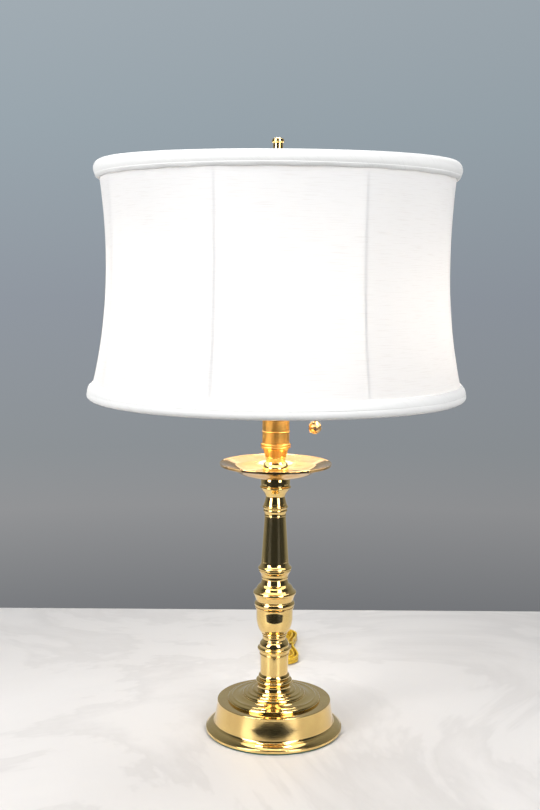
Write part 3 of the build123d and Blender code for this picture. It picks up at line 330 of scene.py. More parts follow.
FINISH["zinc_steel"] = grained_finish("zinc-plated steel", "#9C9D98", "#C9CAC4", 1.2, 0.01, 0.32, metal=1.0)
FINISH["cast_iron"] = grained_finish("sand-cast iron", "#242424", "#3C3B3A", 0.8, 0.12, 0.70, metal=0.6)
FINISH["shade_wire"] = grained_finish("white stoved enamel", "#E4E1DA", "#F2F0EA", 1.5, 0.02, 0.35)
FINISH["bulb_cap"] = grained_finish("rolled aluminium", "#B9BABC", "#DCDCDD", 0.9, 0.01, 0.28, metal=1.0)
FINISH["phenolic"] = grained_finish("moulded phenolic", "#15110F", "#2A221D", 0.7, 0.01, 0.38)
FINISH["liner_paper"] = grained_finish("pressed fibre liner", "#8D6E49", "#B4946A", 0.6, 0.05, 0.85)
FINISH["bushing_plastic"] = grained_finish("gold vinyl bushing", "#8C7420", "#A88E33", 1.0, 0.01, 0.36)
FINISH["tie"] = grained_finish("gold paper-covered tie", "#B7962C", "#D3B648", 0.5, 0.03, 0.65)
FINISH["plug_plastic"] = grained_finish("moulded gold vinyl plug", "#A98D22", "#C7AA3C", 1.4, 0.012, 0.30)

# %% [markdown]
# ## Felt
# A disc of pressed wool is glued under the base so that it doesn't mark the table. Only its cut
# edge shows, a thin dark green line with hairs standing out of it. Sheen gives the pale bloom
# that wool has at a low angle.

# %% Wool felt
felt, tree, surface = new_finish("pressed wool felt")
spot = add(tree, "TexCoord").outputs["Object"]
hair = noise(tree, spot, 0.5, {"Detail": 5.0, "Distortion": 1.5}).outputs["Fac"]
tone = add(tree, "ValToRGB", links={"Fac": hair}, stops=[(0.3, "#0C3A2E"), (0.7, "#1E6650")])
set_up(tree, surface, {"Base Color": tone.outputs["Color"], "Normal": bump(tree, hair, 0.2)},
       {"Roughness": 0.95, "Sheen Weight": 0.4})
FINISH["felt"] = felt

# %% [markdown]
# ## Shade cloth
# The panels are a fine plain-woven shantung: two sets of threads at right angles, with a thicker
# thread (a slub) here and there. The real threads are 0.2 mm apart. They are drawn 0.6 mm apart,
# the finest that still shows. The surface is a mix of a woven front and a translucent one, which
# glows from the bulbs behind it. The lit bulbs are far brighter than the studio, so a small share
# of the translucent one is enough, and the front is held back so that it doesn't burn out. The
# pattern runs on a UV map laid out in metres on the cloth, so that it follows every panel.

# %% Woven cloth
SLUB_L, SLUB_W = 26, 0.9


def woven_finish(name, colour, shade, held_back, through, thread_mm, slant=0.0):
    """Plain weave: two waves across each other, slubs, and light that comes through."""
    material, tree, surface = new_finish(name)
    cloth = add(tree, "UVMap", uv_map="cloth").outputs["UV"]
    laid = add(tree, "Mapping", {"Rotation": (0, 0, slant)}, {"Vector": cloth}).outputs["Vector"]
    waves = []
    for direction in ("X", "Y"):
        wave = add(tree, "TexWave", {"Scale": 50 * math.pi / thread_mm, "Distortion": 0.6, "Detail": 1.0},
                   {"Vector": laid}, wave_type="BANDS", bands_direction=direction)
        waves.append(wave.outputs["Fac"])
    weave = add(tree, "Math", links={0: waves[0], 1: waves[1]}, operation="MULTIPLY")
    slub_place = add(tree, "Mapping", {"Scale": (1000 / SLUB_L, 1000 / SLUB_W, 1)}, {"Vector": laid})
    slub = noise(tree, slub_place.outputs["Vector"], 1000, {"Detail": 2.0}, noise_dimensions="2D")
    slub = slub.outputs["Fac"]
    slubs = add(tree, "ValToRGB", links={"Fac": slub}, stops=[(0.55, colour), (0.78, shade)]).outputs["Color"]
    height = add(tree, "Math", links={0: slub, 1: weave.outputs["Value"]}, operation="ADD")
    relief = bump(tree, height.outputs["Value"], 0.04, strength=0.5)
    front = add(tree, "MixRGB", {"Fac": held_back, "Color2": (0, 0, 0, 1)}, {"Color1": slubs})
    set_up(tree, surface, {"Base Color": front.outputs["Color"], "Normal": relief},
           {"Roughness": 0.85, "Sheen Weight": 0.2})
    glow = add(tree, "BsdfTranslucent", links={"Color": slubs, "Normal": relief})
    mix_in(tree, surface, glow, add(tree, "MixShader", {"Fac": through}))
    return material


FINISH["shade_cloth"] = woven_finish("white shantung panel", "#F9FAFC", "#F1F1F2", 0.32, 0.118, 0.6)
FINISH["shade_trim"] = woven_finish("white bias-cut trim", "#FCFCFB", "#F4F4F3", 0.0, 0.15, 0.6,
                                    slant=math.radians(45))

# %% [markdown]
# ## Bulb glass and cord
# The bulbs are frosted inside and switched on, so their glass glows warm white; in the picture
# they are what lights the shade. The cord is clear gold vinyl over stranded copper. The vinyl
# scatters light inside it, which subsurface scattering gives, and the strands show as a fine
# uneven pattern under the gloss.

# %% Lit glass and gold vinyl
glass, tree, surface = new_finish("frosted bulb glass, lit")
spot = add(tree, "TexCoord").outputs["Object"]
frost = noise(tree, spot, 9, {"Detail": 3.0}).outputs["Fac"]
warm = add(tree, "ValToRGB", links={"Fac": frost}, stops=[(0.3, "#FFEEDB"), (0.7, "#FFF6EA")]).outputs["Color"]
set_up(tree, surface, {"Base Color": warm, "Emission Color": warm},
       {"Emission Strength": 45.0, "Roughness": 0.5})
FINISH["bulb_glass"] = glass

vinyl, tree, surface = new_finish("clear gold vinyl cord")
spot = add(tree, "TexCoord").outputs["Object"]
strands = noise(tree, spot, 1.6, {"Detail": 2.0, "Distortion": 0.8}).outputs["Fac"]
tone = add(tree, "ValToRGB", links={"Fac": strands},
           stops=[(0.35, "#C49C12"), (0.55, "#DCB62C"), (0.75, "#EBD567")])
set_up(tree, surface, {"Base Color": tone.outputs["Color"], "Normal": bump(tree, strands, 0.05, strength=0.5)},
       {"Roughness": 0.28, "Subsurface Weight": 0.25, "Subsurface Radius": (1.2 * MM, 1.0 * MM, 0.3 * MM)})
FINISH["cord_vinyl"] = vinyl
print(len(FINISH), "finishes")

# %% [markdown]
# ## Turning a piece
# A lathe makes a piece by moving a tool along a profile while the work spins. Blender's Spin
# would do it, but it leaves a seam to close. Instead a circle is drawn at the first radius, and
# pulled along the profile ring by ring with Extrude and Scale, until it meets itself again. The
# profile is read as on a drawing: radius, height and, for a curved run, how far it bulges.
# On a mirror the shading matters more than the outline, so a straight run gets a ring close to
# each end, which keeps its middle truly straight, and sharp corners get a hair-fine round edge.

# %% The lathe
AROUND = 160
EDGE_MM = 0.18


def profile_rings(start, moves):
    """Every ring of a profile: arcs in short steps, straight runs with a ring near each end."""
    rings = [start]
    for move in moves:
        r0, z0 = rings[-1]
        r1, z1 = move[:2]
        dr, dz = r1 - r0, z1 - z0
        length = math.hypot(dr, dz)
        if len(move) == 3:
            half = 2 * math.atan(2 * move[2] / length)
            steps = max(6, math.ceil(abs(math.degrees(half)) / 5))
            for step in range(1, steps + 1):
                turn = half * (2 * step / steps - 1)
                along = 0.5 + 0.5 * math.sin(turn) / math.sin(half)
                out = length / 2 / math.sin(half) * (math.cos(turn) - math.cos(half))
                rings.append((r0 + dr * along + dz / length * out, z0 + dz * along - dr / length * out))
        else:
            if length > 1.2:
                for near in (0.4 / length, 1 - 0.4 / length):
                    rings.append((r0 + dr * near, z0 + dz * near))
            rings.append((r1, z1))
    return rings


def turned(name, start, *moves, around=AROUND, edge=EDGE_MM):
    """A closed turned piece about the Z axis, upright, with fine round edges."""
    rings = profile_rings(start, moves + (start,))
    bpy.ops.object.select_all(action="DESELECT")
    bpy.ops.mesh.primitive_circle_add(vertices=around, radius=start[0] * MM, location=(0, 0, start[1] * MM))
    piece = bpy.context.object
    piece.name = name
    bpy.ops.object.mode_set(mode="EDIT")
    for here, there in zip(rings, rings[1:]):
        bpy.ops.mesh.extrude_edges_move(TRANSFORM_OT_translate={"value": (0, 0, (there[1] - here[1]) * MM)})
        grow = there[0] / here[0]
        bpy.ops.transform.resize(value=(grow, grow, 1), center_override=(0, 0, there[1] * MM))
    bpy.ops.mesh.select_all(action="SELECT")
    bpy.ops.mesh.remove_doubles(threshold=0.002 * MM)
    bpy.ops.mesh.normals_make_consistent(inside=False)
    bpy.ops.object.mode_set(mode="OBJECT")
    apply_place()
    if edge:
        round_edge = piece.modifiers.new("round edge", "BEVEL")
        round_edge.width = edge * MM
        round_edge.segments = 2
        round_edge.angle_limit = math.radians(32)
        bpy.ops.object.modifier_apply(modifier=round_edge.name)
    bpy.ops.object.shade_smooth_by_angle(angle=math.radians(40))
    return piece


def takes_over(piece, node, finish=None):
    """The piece gets its finish, moves with its body and stands for its CAD node."""
    slot = SLOT_OF[node]
    piece.data.materials.clear()
    piece.data.materials.append(finish or FINISH[slot])
    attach(piece, BODY_OF[node])
    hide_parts(node)
    print(f"{piece.name}: {len(piece.data.polygons)} faces, for {node}")


# %% [markdown]
# ## Base
# The base is one brass disc spun over a former: a sloping flange at the foot, a drum wall, then
# rings and coves that step up to the stem. Spun brass is thin, so the piece has an inner profile
# too, and the felt closes it from below. The drum's wall leans in a little less towards its top,
# which closes the dark mirror image of the room in front to the soft oval of the picture.

# %% Base shell
HOLE_R = 5.1
base = turned(
    "spun_base",
    (71.0, 2.0), (80.0, 2.0), (80.1, 4.4, 0.2), (79.5, 5.4, 0.2), (73.2, 9.6, 0.45), (70.1, 12.0, -0.5),
    (68.1, 24.0), (66.5, 36.1, -0.085), (65.9, 36.9, 0.25), (54.0, 36.9), (52.4, 40.5, 1.1), (49.4, 41.0),
    (47.0, 41.6, 0.4), (39.0, 43.1, -0.5), (36.6, 43.5), (34.0, 46.1, 1.0), (32.0, 46.4),
    (29.4, 47.6, 0.6), (26.0, 48.0), (24.0, 50.0, 0.4), (HOLE_R, 50.0), (HOLE_R, 48.8),
    (22.8, 48.8), (31.0, 44.9), (33.0, 41.9), (49.0, 39.3), (52.8, 35.7),
    (65.8, 35.7), (68.8, 12.5), (71.0, 3.2),
    around=240,
)
takes_over(base, "base_shell")

# %% [markdown]
# The felt is a disc 2 mm thick. A cut felt edge is never sharp, so its rim is rounded and nudged
# in and out by a fraction of a millimetre.

# %% Felt pad
FELT_R = 79.1


def push_out(vertex, grow):
    """Moves a vertex away from the Z axis by a factor."""
    vertex.co.x *= grow
    vertex.co.y *= grow


pad = turned("felt_disc", (1.0, 0.0), (FELT_R - 0.5, 0.0), (FELT_R - 0.5, 2.0, 0.5), (1.0, 2.0),
             around=240, edge=0)
for vertex in pad.data.vertices:
    if math.hypot(vertex.co.x, vertex.co.y) > (FELT_R - 3) * MM:
        turn = math.atan2(vertex.co.y, vertex.co.x)
        push_out(vertex, 1 + 0.0012 * math.sin(turn * 31) + 0.0009 * math.sin(turn * 73 + 1.3))
takes_over(pad, "felt_pad")

# %% [markdown]
# ## Stem
# The stem is a stack of separately turned pieces: foot, sleeve, collar, urn, ring, knop, bell
# collar, tapering column, upper collar and candle cup. Separate pieces give the fine dark joint
# lines between them. Each profile is given from the drawing, from the foot up. The urn's upper
# wall is nearly upright, so it mirrors the dark room there, between two bands of bright table.

# %% Foot, sleeve and collar
takes_over(turned(
    "stem_foot_bead",
    (HOLE_R, 50.0), (20.5, 50.0), (19.2, 56.2, -0.8), (19.8, 57.6), (19.8, 61.6, 1.4), (17.2, 62.4),
    (17.6, 67.0, 1.0), (16.8, 68.0), (HOLE_R, 68.0),
), "stem_foot")
takes_over(turned("plain_sleeve", (14.6, 68.0), (16.3, 68.0), (16.3, 91.0), (14.6, 91.0)), "lower_sleeve")
takes_over(turned(
    "beaded_collar",
    (HOLE_R, 91.0), (16.6, 91.0), (16.6, 92.8, 0.7), (17.0, 93.0), (17.5, 96.4), (18.3, 96.8),
    (18.3, 100.6, 1.4), (17.3, 101.0), (13.5, 108.4, 1.3), (13.3, 109.5), (HOLE_R, 109.5),
), "lower_collar")

# %% Urn, ring and knop
takes_over(turned(
    "urn_vase",
    (HOLE_R, 109.5), (13.2, 109.5), (13.2, 112.5), (13.2, 114.5, 0.7), (14.1, 114.9), (14.6, 117.5, 0.6),
    (18.6, 122.5, 0.5), (20.93, 131.6, 0.33), (21.25, 135.4, 0.08), (21.34, 143.2), (21.65, 146.6, -0.08),
    (22.6, 147.4, -0.2), (22.6, 149.0), (18.9, 149.0),
    (18.9, 131.5), (12.6, 119.5), (HOLE_R, 117.5),
), "urn")
takes_over(turned("torus_ring", (HOLE_R, 149.0), (22.1, 149.0), (22.1, 155.5, 1.5), (HOLE_R, 155.5)),
           "urn_ring")
takes_over(turned(
    "knop_bead",
    (HOLE_R, 155.5), (21.8, 155.5), (21.8, 157.5, -0.3), (23.6, 162.5), (23.9, 163.5), (23.6, 168.1, 1.4),
    (21.5, 170.5), (16.7, 176.1, 0.7), (16.3, 177.1), (14.7, 182.0), (HOLE_R, 182.0),
), "knop")

# %% Bell collar and column
takes_over(turned(
    "bell_ring",
    (HOLE_R, 182.0), (15.4, 182.0), (15.6, 185.2, 0.2), (18.2, 190.4, -0.4), (18.9, 191.6),
    (18.9, 193.5), (HOLE_R, 193.5),
), "bell_collar")
takes_over(turned(
    "tapering_column",
    (13.9, 193.5), (19.1, 193.5), (19.2, 196.1, 0.5), (16.1, 203.0, -1.0), (12.4, 256.5), (10.5, 256.5),
), "tapered_column")

# %% Upper collar and candle cup
takes_over(turned(
    "column_collar",
    (HOLE_R, 256.5), (12.6, 256.5), (12.6, 258.3, 0.2), (13.4, 261.5, -0.2), (13.8, 262.1),
    (13.5, 264.7, 0.4), (13.9, 265.7), (13.9, 268.7, 0.9), (13.3, 271.0), (HOLE_R, 271.0),
), "upper_collar")
takes_over(turned(
    "waisted_cup",
    (HOLE_R, 271.0), (13.1, 271.0), (11.1, 279.6, -0.1), (11.8, 280.6), (15.5, 286.6, -0.5), (17.4, 289.2),
    (17.4, 291.8, 0.8), (16.9, 292.8), (15.7, 304.0, 0.75), (HOLE_R, 304.0),
), "candle_cup")

# %% [markdown]
# ## Drip pan and cluster
# The pan is thin sheet brass with a flat floor, a curved bowl and a lip turned up at its edge,
# which shows as a dark line. Above it come a domed neck, a cup with a double bead and a straight
# tube, and on top the turned block that takes the two sockets. All of it is lit by the bulbs. The
# cup, tube and block have painted warm light: a deeper orange brass than the stem. The pan has
# painted shade: a darker, warmer brass that holds back the lit shade's bright reflection in it.

# %% Drip pan
takes_over(turned(
    "thin_pan",
    (HOLE_R, 304.0), (27.0, 304.0), (50.0, 312.8, 2.9), (63.4, 316.2), (64.5, 316.0, 0.1), (64.7, 318.1),
    (64.2, 318.8, 0.2), (62.8, 317.9), (49.8, 313.4), (26.6, 305.0, -2.6), (HOLE_R, 305.0),
    around=200,
), "drip_pan", PAN_BRASS_PAINTED_DARK)

# %% Neck, cap, body and hub
takes_over(turned(
    "domed_neck",
    (HOLE_R, 305.0), (16.5, 305.0), (16.2, 307.5, 0.5), (15.2, 311.0, -0.3), (15.2, 312.2),
    (12.1, 319.2, 0.8), (11.3, 320.0), (11.3, 325.5), (HOLE_R, 325.5),
), "pan_neck")
takes_over(turned(
    "double_bead_cup",
    (HOLE_R, 325.5), (12.1, 325.5), (13.2, 329.9), (14.0, 332.5, -0.1), (15.5, 335.5, -0.3), (16.4, 336.1),
    (16.4, 338.5, 0.8), (16.2, 338.9), (16.5, 341.3, 0.9), (15.8, 342.0), (HOLE_R, 342.0),
), "cluster_cap", BRASS_PAINTED_WARM)
takes_over(turned(
    "straight_tube",
    (14.4, 342.0), (15.6, 342.0), (15.6, 354.8), (15.6, 356.0, 0.6), (15.6, 380.5), (14.4, 380.5),
), "cluster_body", BRASS_PAINTED_WARM)
takes_over(turned(
    "socket_block",
    (HOLE_R, 380.5), (16.6, 380.5), (16.6, 382.9, 0.8), (15.0, 383.7), (15.0, 400.5, 0.9), (9.0, 404.5, 1.4),
    (HOLE_R - 1.0, 404.5), (HOLE_R - 1.0, 396.0), (HOLE_R, 396.0),
), "cluster_hub", BRASS_PAINTED_WARM)

# %% [markdown]
# ## Sockets
# Each socket is a domed cap and a drawn brass shell, tilted fifty degrees outwards. One of each
# is turned upright on the lamp's axis, copied with a mesh of its own for the other side, and
# leaned over. The place is then applied, so that the object itself stays unturned.

# %% Lean a piece over
TILT = math.radians(50)
HUB_MID = 392.5


def leaned(piece, side):
    """Tilts an upright piece about Y, moves it to the hub and applies the place."""
    bpy.ops.object.select_all(action="DESELECT")
    piece.select_set(True)
    bpy.context.view_layer.objects.active = piece
    piece.rotation_euler = (0, TILT if side == "right" else -TILT, 0)
    piece.location = (0, 0, HUB_MID * MM)
    apply_place()
    return piece


def pair_of(piece, node):
    """The upright piece and a copy of it, leaned to the two sides."""
    copy = piece.copy()
    copy.data = piece.data.copy()
    bpy.context.collection.objects.link(copy)
    name = piece.name
    for one, side in ((piece, "right"), (copy, "left")):
        one.name = f"{name}_{side}"
        takes_over(leaned(one, side), f"{node}_{side}")


# %% Socket caps and shells
pair_of(turned(
    "socket_dome",
    (4.9, 21.0), (7.4, 21.0), (7.4, 23.6), (17.05, 34.0, 2.6), (17.05, 39.0), (16.25, 39.0),
    (16.25, 34.0), (7.4, 25.2, -2.6), (4.9, 25.2), around=96,
), "socket_cap")
pair_of(turned(
    "socket_sleeve",
    (15.7, 35.0), (16.2, 35.0), (16.2, 72.0), (16.2, 73.6, 0.5), (16.2, 78.0), (15.7, 78.0),
    around=96, edge=0.1,
), "socket_shell")

# %% [markdown]
# ## Bulbs
# Household bulbs: a glass that swells from the neck to a ball, over a screw cap. The glass is one
# thin shell, closed where it sits in the cap. The cap's thread is rolled, so its ridges are round
# and 3.6 mm apart. Drawn as rings they look the same as a helix at this size.

# %% Bulb glass and screw caps
pair_of(turned(
    "pear_glass",
    (11.8, 83.3), (13.0, 83.3), (14.4, 95.3, -0.3), (26.49, 118.2, 0.9), (30.0, 132.3, 1.75),
    (21.21, 153.51, 2.28), (0.6, 162.3, 1.7), (0.6, 161.4), (20.58, 152.9, -1.65),
    (29.1, 132.3, -2.2), (25.6, 118.6, -1.7), (13.5, 95.6, -0.9), (11.8, 88.0),
    around=64, edge=0,
), "bulb_glass")

thread = [(4.5, 58.3), (4.5, 59.3), (11.0, 61.3), (12.4, 62.8)]
for turn in range(5):
    low = 62.8 + turn * 3.6
    thread += [(12.95, low + 1.0, 0.1), (12.4, low + 3.6, -0.1)]
pair_of(turned("screw_cap", (0.4, 58.3), *thread, (12.9, 83.3), (11.5, 83.3), (11.5, 65.3), (0.4, 65.3),
               around=72, edge=0), "bulb_base")

# %% [markdown]
# ## Pull balls
# At the end of each bead chain hangs a hollow ball pressed from two halves, with a groove where
# they meet. The right one shows under the shade and catches both soft lamps.

# %% Pull balls
BALL_R, GROOVE_IN = 7.7, 0.8
below = [math.radians(a) for a in range(-84, -5, 6)]
sphere = [(BALL_R * math.cos(a), BALL_R * math.sin(a)) for a in below]
groove = [(BALL_R - 0.05, -0.75), (BALL_R - GROOVE_IN, -0.45)]
groove += [(r, -z) for r, z in reversed(groove)]
above = [(r, -z) for r, z in reversed(sphere) if r > 1.7]
hole = [(1.6, BALL_R - 0.3), (1.6, BALL_R - 0.9), (0.3, BALL_R - 0.9)]
for side in ("left", "right"):
    low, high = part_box(f"pull_ball_{side}")
    ball = turned(f"ball_{side}", (0.3, -BALL_R), *sphere, *groove, *above, *hole, around=64, edge=0)
    ball.location = ((low[0] + high[0]) / 2, 0, low[2] + BALL_R * MM)
    apply_place()
    takes_over(ball, f"pull_ball_{side}")

# %% [markdown]
# ## Riser and finial
# A plain tube rises through the shade to a seat with a threaded stud. The shade's fitter drops
# over the stud, and the finial screws down on it: a flange, a straight body and a flat dome.

# %% Riser, seat and finial
takes_over(turned("plain_riser", (3.1, 398.5), (4.0, 398.5), (4.0, 648.0), (3.1, 648.0), around=64),
           "riser_tube")
takes_over(turned(
    "finial_knob",
    (3.24, 652.0), (8.0, 652.0), (8.0, 654.6, 0.7), (6.3, 655.6), (5.7, 661.0, -0.3), (5.7, 680.5),
    (6.6, 680.7), (6.6, 684.3, 0.4), (5.6, 685.3, 0.3), (1.0, 686.7, 0.3), (0.3, 686.7), (0.3, 666.5),
    (3.24, 666.5),
    around=96,
), "finial")

# %% [markdown]
# ## Shade panels
# Eight panels of cloth are stretched between curved wires and two rings. Between the wires the
# cloth pulls straight, so each panel is a little flatter than a circle, and the side is drawn in
# at the waist. A cylinder with many rows is a good start: its vertices are then moved in code to
# the radius that the stretched cloth has at their height and angle. It stays a single skin,
# because light goes through it, and the trims hide its edges. Two narrow folds are pinched up
# along each wire, where the panels are sewn together.

# %% The shade's own measures
SHADE_LOW, SHADE_H, WAIST_UP = 399.0, 253.0, 147.0
BOTTOM_R, TOP_R, RIB_WAIST_R, PANEL_WAIST_R = 211.0, 200.0, 196.0, 191.6
PANELS = 8
RIB_TURN = 26.3
TRIM_H = 19.0


def drawn_in(up, waist_r):
    """Radius of the stretched cloth at a height above the bottom ring."""
    if up < WAIST_UP:
        rise, spread = WAIST_UP, BOTTOM_R - waist_r
    else:
        rise, spread = SHADE_H - WAIST_UP, TOP_R - waist_r
    bend = (rise ** 2 + spread ** 2) / (2 * spread)
    return waist_r + bend - math.sqrt(bend ** 2 - (up - WAIST_UP) ** 2)


def cloth_radius(up, turn):
    """Radius at a height and an angle from the nearest panel's middle: an arc between two wires."""
    half = math.pi / PANELS
    rib_r, mid_r = drawn_in(up, RIB_WAIST_R), drawn_in(up, PANEL_WAIST_R)
    chord, rise = rib_r * math.sin(half), mid_r - rib_r * math.cos(half)
    bow = (chord ** 2 + rise ** 2) / (2 * rise)
    middle = mid_r - bow
    return middle * math.cos(turn) + math.sqrt(bow ** 2 - (middle * math.sin(turn)) ** 2)


# %% Stretch the cloth
def pick(piece, kind, wanted):
    """Opens the piece in edit mode with only the faces or edges selected that pass a test."""
    bpy.ops.object.mode_set(mode="EDIT")
    bpy.ops.mesh.select_mode(type=kind)
    bpy.ops.mesh.select_all(action="DESELECT")
    bpy.ops.object.mode_set(mode="OBJECT")
    for item in piece.data.polygons if kind == "FACE" else piece.data.edges:
        item.select = wanted(item)
    bpy.ops.object.mode_set(mode="EDIT")


def runs_along(piece, edge, axis, shortest):
    """Whether an edge goes further than a length along an axis."""
    a, b = (piece.data.vertices[i].co for i in edge.vertices)
    return abs(a[axis] - b[axis]) > shortest


COLUMNS, ROWS = PANELS * 28, 56
SEAM_HIGH, SEAM_HALF, RIPPLE_HIGH = 0.18, 2.2, 0.12
bpy.ops.object.select_all(action="DESELECT")
bpy.ops.mesh.primitive_cylinder_add(vertices=COLUMNS, radius=TOP_R * MM, depth=SHADE_H * MM,
                                    end_fill_type="NOTHING", location=(0, 0, (SHADE_LOW + SHADE_H / 2) * MM))
cloth = bpy.context.object
cloth.name = "stretched_panels"
apply_place()
pick(cloth, "EDGE", lambda edge: runs_along(cloth, edge, 2, 0.1))
bpy.ops.mesh.subdivide_edgering(number_cuts=ROWS - 1, interpolation="LINEAR")
bpy.ops.object.mode_set(mode="OBJECT")
print("cloth grid:", len(cloth.data.vertices), "vertices")
panel_turn = 2 * math.pi / PANELS
first_rib = math.radians(-90 + RIB_TURN)
for vertex in cloth.data.vertices:
    around = math.atan2(vertex.co.y, vertex.co.x)
    up = vertex.co.z / MM - SHADE_LOW
    from_rib = (around - first_rib) % panel_turn
    turn = from_rib - panel_turn / 2
    radius = cloth_radius(up, turn)
    seam = min(from_rib, panel_turn - from_rib) * radius
    radius += SEAM_HIGH * math.exp(-(seam / SEAM_HALF) ** 2)
    radius += RIPPLE_HIGH * math.sin(up * 0.11 + around * 9) * math.exp(-seam / 25)
    vertex.co.x = radius * MM * math.cos(around)
    vertex.co.y = radius * MM * math.sin(around)
bpy.ops.object.shade_smooth()


def lay_out(piece, radius):
    """UV map in metres on the cloth: round the shade across, and its height upwards."""
    layout = piece.data.uv_layers.new(name="cloth")
    piece.data.uv_layers.active = layout
    for face in piece.data.polygons:
        corners = [piece.data.vertices[i].co for i in face.vertices]
        angles = [math.atan2(corner.y, corner.x) for corner in corners]
        wraps = max(angles) - min(angles) > math.pi
        for loop, corner, angle in zip(face.loop_indices, corners, angles):
            if wraps and angle < 0:
                angle += 2 * math.pi
            layout.data[loop].uv = (angle * radius * MM, corner.z)


lay_out(cloth, RIB_WAIST_R)
takes_over(cloth, "shade_panels")

# %% [markdown]
# ## Trims
# A bias-cut band of the same cloth is folded over each ring and sewn down. Cut on the slant it
# stretches round the curve without creases, but a hand-sewn edge still wanders a little. The
# band is turned like the brass, with a soft round fold, and its rings are then nudged in and out.
# At the top the roll settles a little in front and behind, where no rib holds the ring up.

# %% Bands over the rings
RING_WIRE_R, RING_SLACK, CLOTH_T = 1.8, 0.55, 0.8
TRIM_T, TRIM_PUFF, TRIM_OVER, TRIM_LAP, BOTTOM_OVER = 2.4, 4.2, 3.6, 8.0, 2.3
CREASE_LOW, CREASE_TOP, TOP_SETTLES = 4.4, 9.6, 0.62
WANDER = ((0.22, 17, 0.4), (0.14, 41, 2.0), (0.10, 90, 0.0))


def trim_band(name, node, cloth_r, ring_z, sense, crease, over):
    """Folded band: puffed outer leg with a crease, round fold past the ring wire, short inner leg."""
    outer = cloth_r + 0.05
    inner = cloth_r - CLOTH_T - 2 * RING_WIRE_R - RING_SLACK - 0.05
    edge = ring_z - sense * (RING_WIRE_R + 0.05)
    rolled = ring_z - sense * (over + RING_WIRE_R)
    far = ring_z + sense * (TRIM_H - TRIM_OVER - RING_WIRE_R)
    far_r = drawn_in(far - SHADE_LOW, RIB_WAIST_R) + 0.05
    lap = ring_z + sense * (TRIM_LAP - TRIM_OVER)
    fold = outer + TRIM_PUFF
    creased = ring_z + sense * crease
    hem = inner - TRIM_T * 0.5
    profile = [
        (outer, ring_z), (far_r - 3.0, far), (far_r + 0.4, far + sense * 0.2, sense * 0.3),
        (fold - 0.9, creased + sense * 0.4, sense * -0.15 * (13.2 - crease)), (fold - 1.2, creased),
        (outer - 0.6, rolled, sense * (-1.2 - 0.24 * crease)), (inner + 0.4, rolled),
        (hem, rolled + sense * 1.6, sense * -0.5), (hem, lap), (inner, lap), (inner, edge),
    ]
    band = turned(name, (outer, edge), *profile, around=256, edge=0)
    for vertex in band.data.vertices:
        turn = math.atan2(vertex.co.y, vertex.co.x)
        out = math.hypot(vertex.co.x, vertex.co.y)
        pull = sum(depth * math.sin(turn * times + start) for depth, times, start in WANDER)
        push_out(vertex, 1 + pull * MM / out)
        if node == "shade_top_trim" and vertex.co.z > ring_z * MM:
            vertex.co.z -= (vertex.co.z - ring_z * MM) * TOP_SETTLES * math.sin(turn) ** 2
        if abs(vertex.co.z / MM - far) < 2.5:
            vertex.co.z += (0.25 * math.sin(turn * 23 + 1.0) + 0.12 * math.sin(turn * 60)) * MM
    bpy.ops.object.shade_smooth_by_angle(angle=math.radians(60))
    lay_out(band, cloth_r)
    takes_over(band, node)
    return band


bottom_band = trim_band("bottom_band", "shade_bottom_trim", BOTTOM_R, SHADE_LOW, 1, CREASE_LOW, BOTTOM_OVER)
top_band = trim_band("top_band", "shade_top_trim", TOP_R, SHADE_LOW + SHADE_H, -1, CREASE_TOP, TRIM_OVER)

# %% [markdown]
# ## Cord
# A flat twin cord leaves the back of the drum through a strain relief, dips to the table and ends
# in a hank of long loops with a tie round its waist and the plug on top, close behind the base.
# Its route is a NURBS curve with a few listed points, which bends as smoothly as vinyl does.
# The hank's loops are worked out: each has a run that the tie draws in and a round turn at each
# end, laid in two layers. Sizes: 4.8 mm wide, about 1.8 m long in all.

# %% Route of the lead
CORD_W, CORD_T = 4.8, 2.6
LAYER_LOW, LAYER_HIGH = 3.1, 8.5
NEAR_Y, FAR_Y, WAIST_Y = 240.0, 328.0, 284.0
HANK_X, INNERMOST, STEP, DRAWN = 11.2, 11.4, 2.8, 7.0
route = [
    (0, 92.0, 19.0), (0, 107.0, 18.4), (-0.8, 123.0, 12.4), (-2.4, 139.0, 6.4), (-5.2, 157.0, 3.4),
    (-9.2, 177.0, 3.1), (-12.6, 197.0, 3.1), (-14.2, 217.0, 3.1), (-14.2, 235.0, 3.1),
]

# %% Loops of the hank
LOOPS = [5, 4, 3, 2, 1, 0, 1, 2, 3, 4, 5]
PLUG_AT = (7.2, 306.0, 17.77)


def run_place(index):
    """How far a run lies from the hank's middle, left for even runs and right for odd ones."""
    return HANK_X + (-1 if index % 2 == 0 else 1) * (INNERMOST + LOOPS[index] * STEP)


height = LAYER_LOW
for index in range(len(LOOPS)):
    last = index == len(LOOPS) - 1
    ahead = 1 if index % 2 == 0 else -1
    x = run_place(index)
    near, far = (NEAR_Y, FAR_Y) if ahead == 1 else (FAR_Y, NEAR_Y)
    rise = PLUG_AT[2] if last else LAYER_HIGH if index >= 5 else LAYER_LOW
    waist_z = height if last else (height + rise) / 2
    route += [
        (x, near + 8 * ahead, height), (x + ahead * DRAWN, WAIST_Y - 12 * ahead, waist_z),
        (x + ahead * DRAWN, WAIST_Y + 10 * ahead, waist_z), (x, far - 6 * ahead, rise),
    ]
    height = rise
    beyond = PLUG_AT[0] if last else run_place(index + 1)
    middle, reach = (x + beyond) / 2, (x - beyond) / 2
    sway = 0.8 * math.sin(index * 2.3)
    for angle in (22.5, 67.5, 112.5, 157.5):
        turn = math.radians(angle)
        wide = reach / math.cos(math.radians(22.5))
        beyond_y = far + ahead * (abs(wide) * math.sin(turn) + sway)
        route.append((middle + wide * math.cos(turn), beyond_y, height))
route += [(PLUG_AT[0], PLUG_AT[1] + 12, PLUG_AT[2]), PLUG_AT]

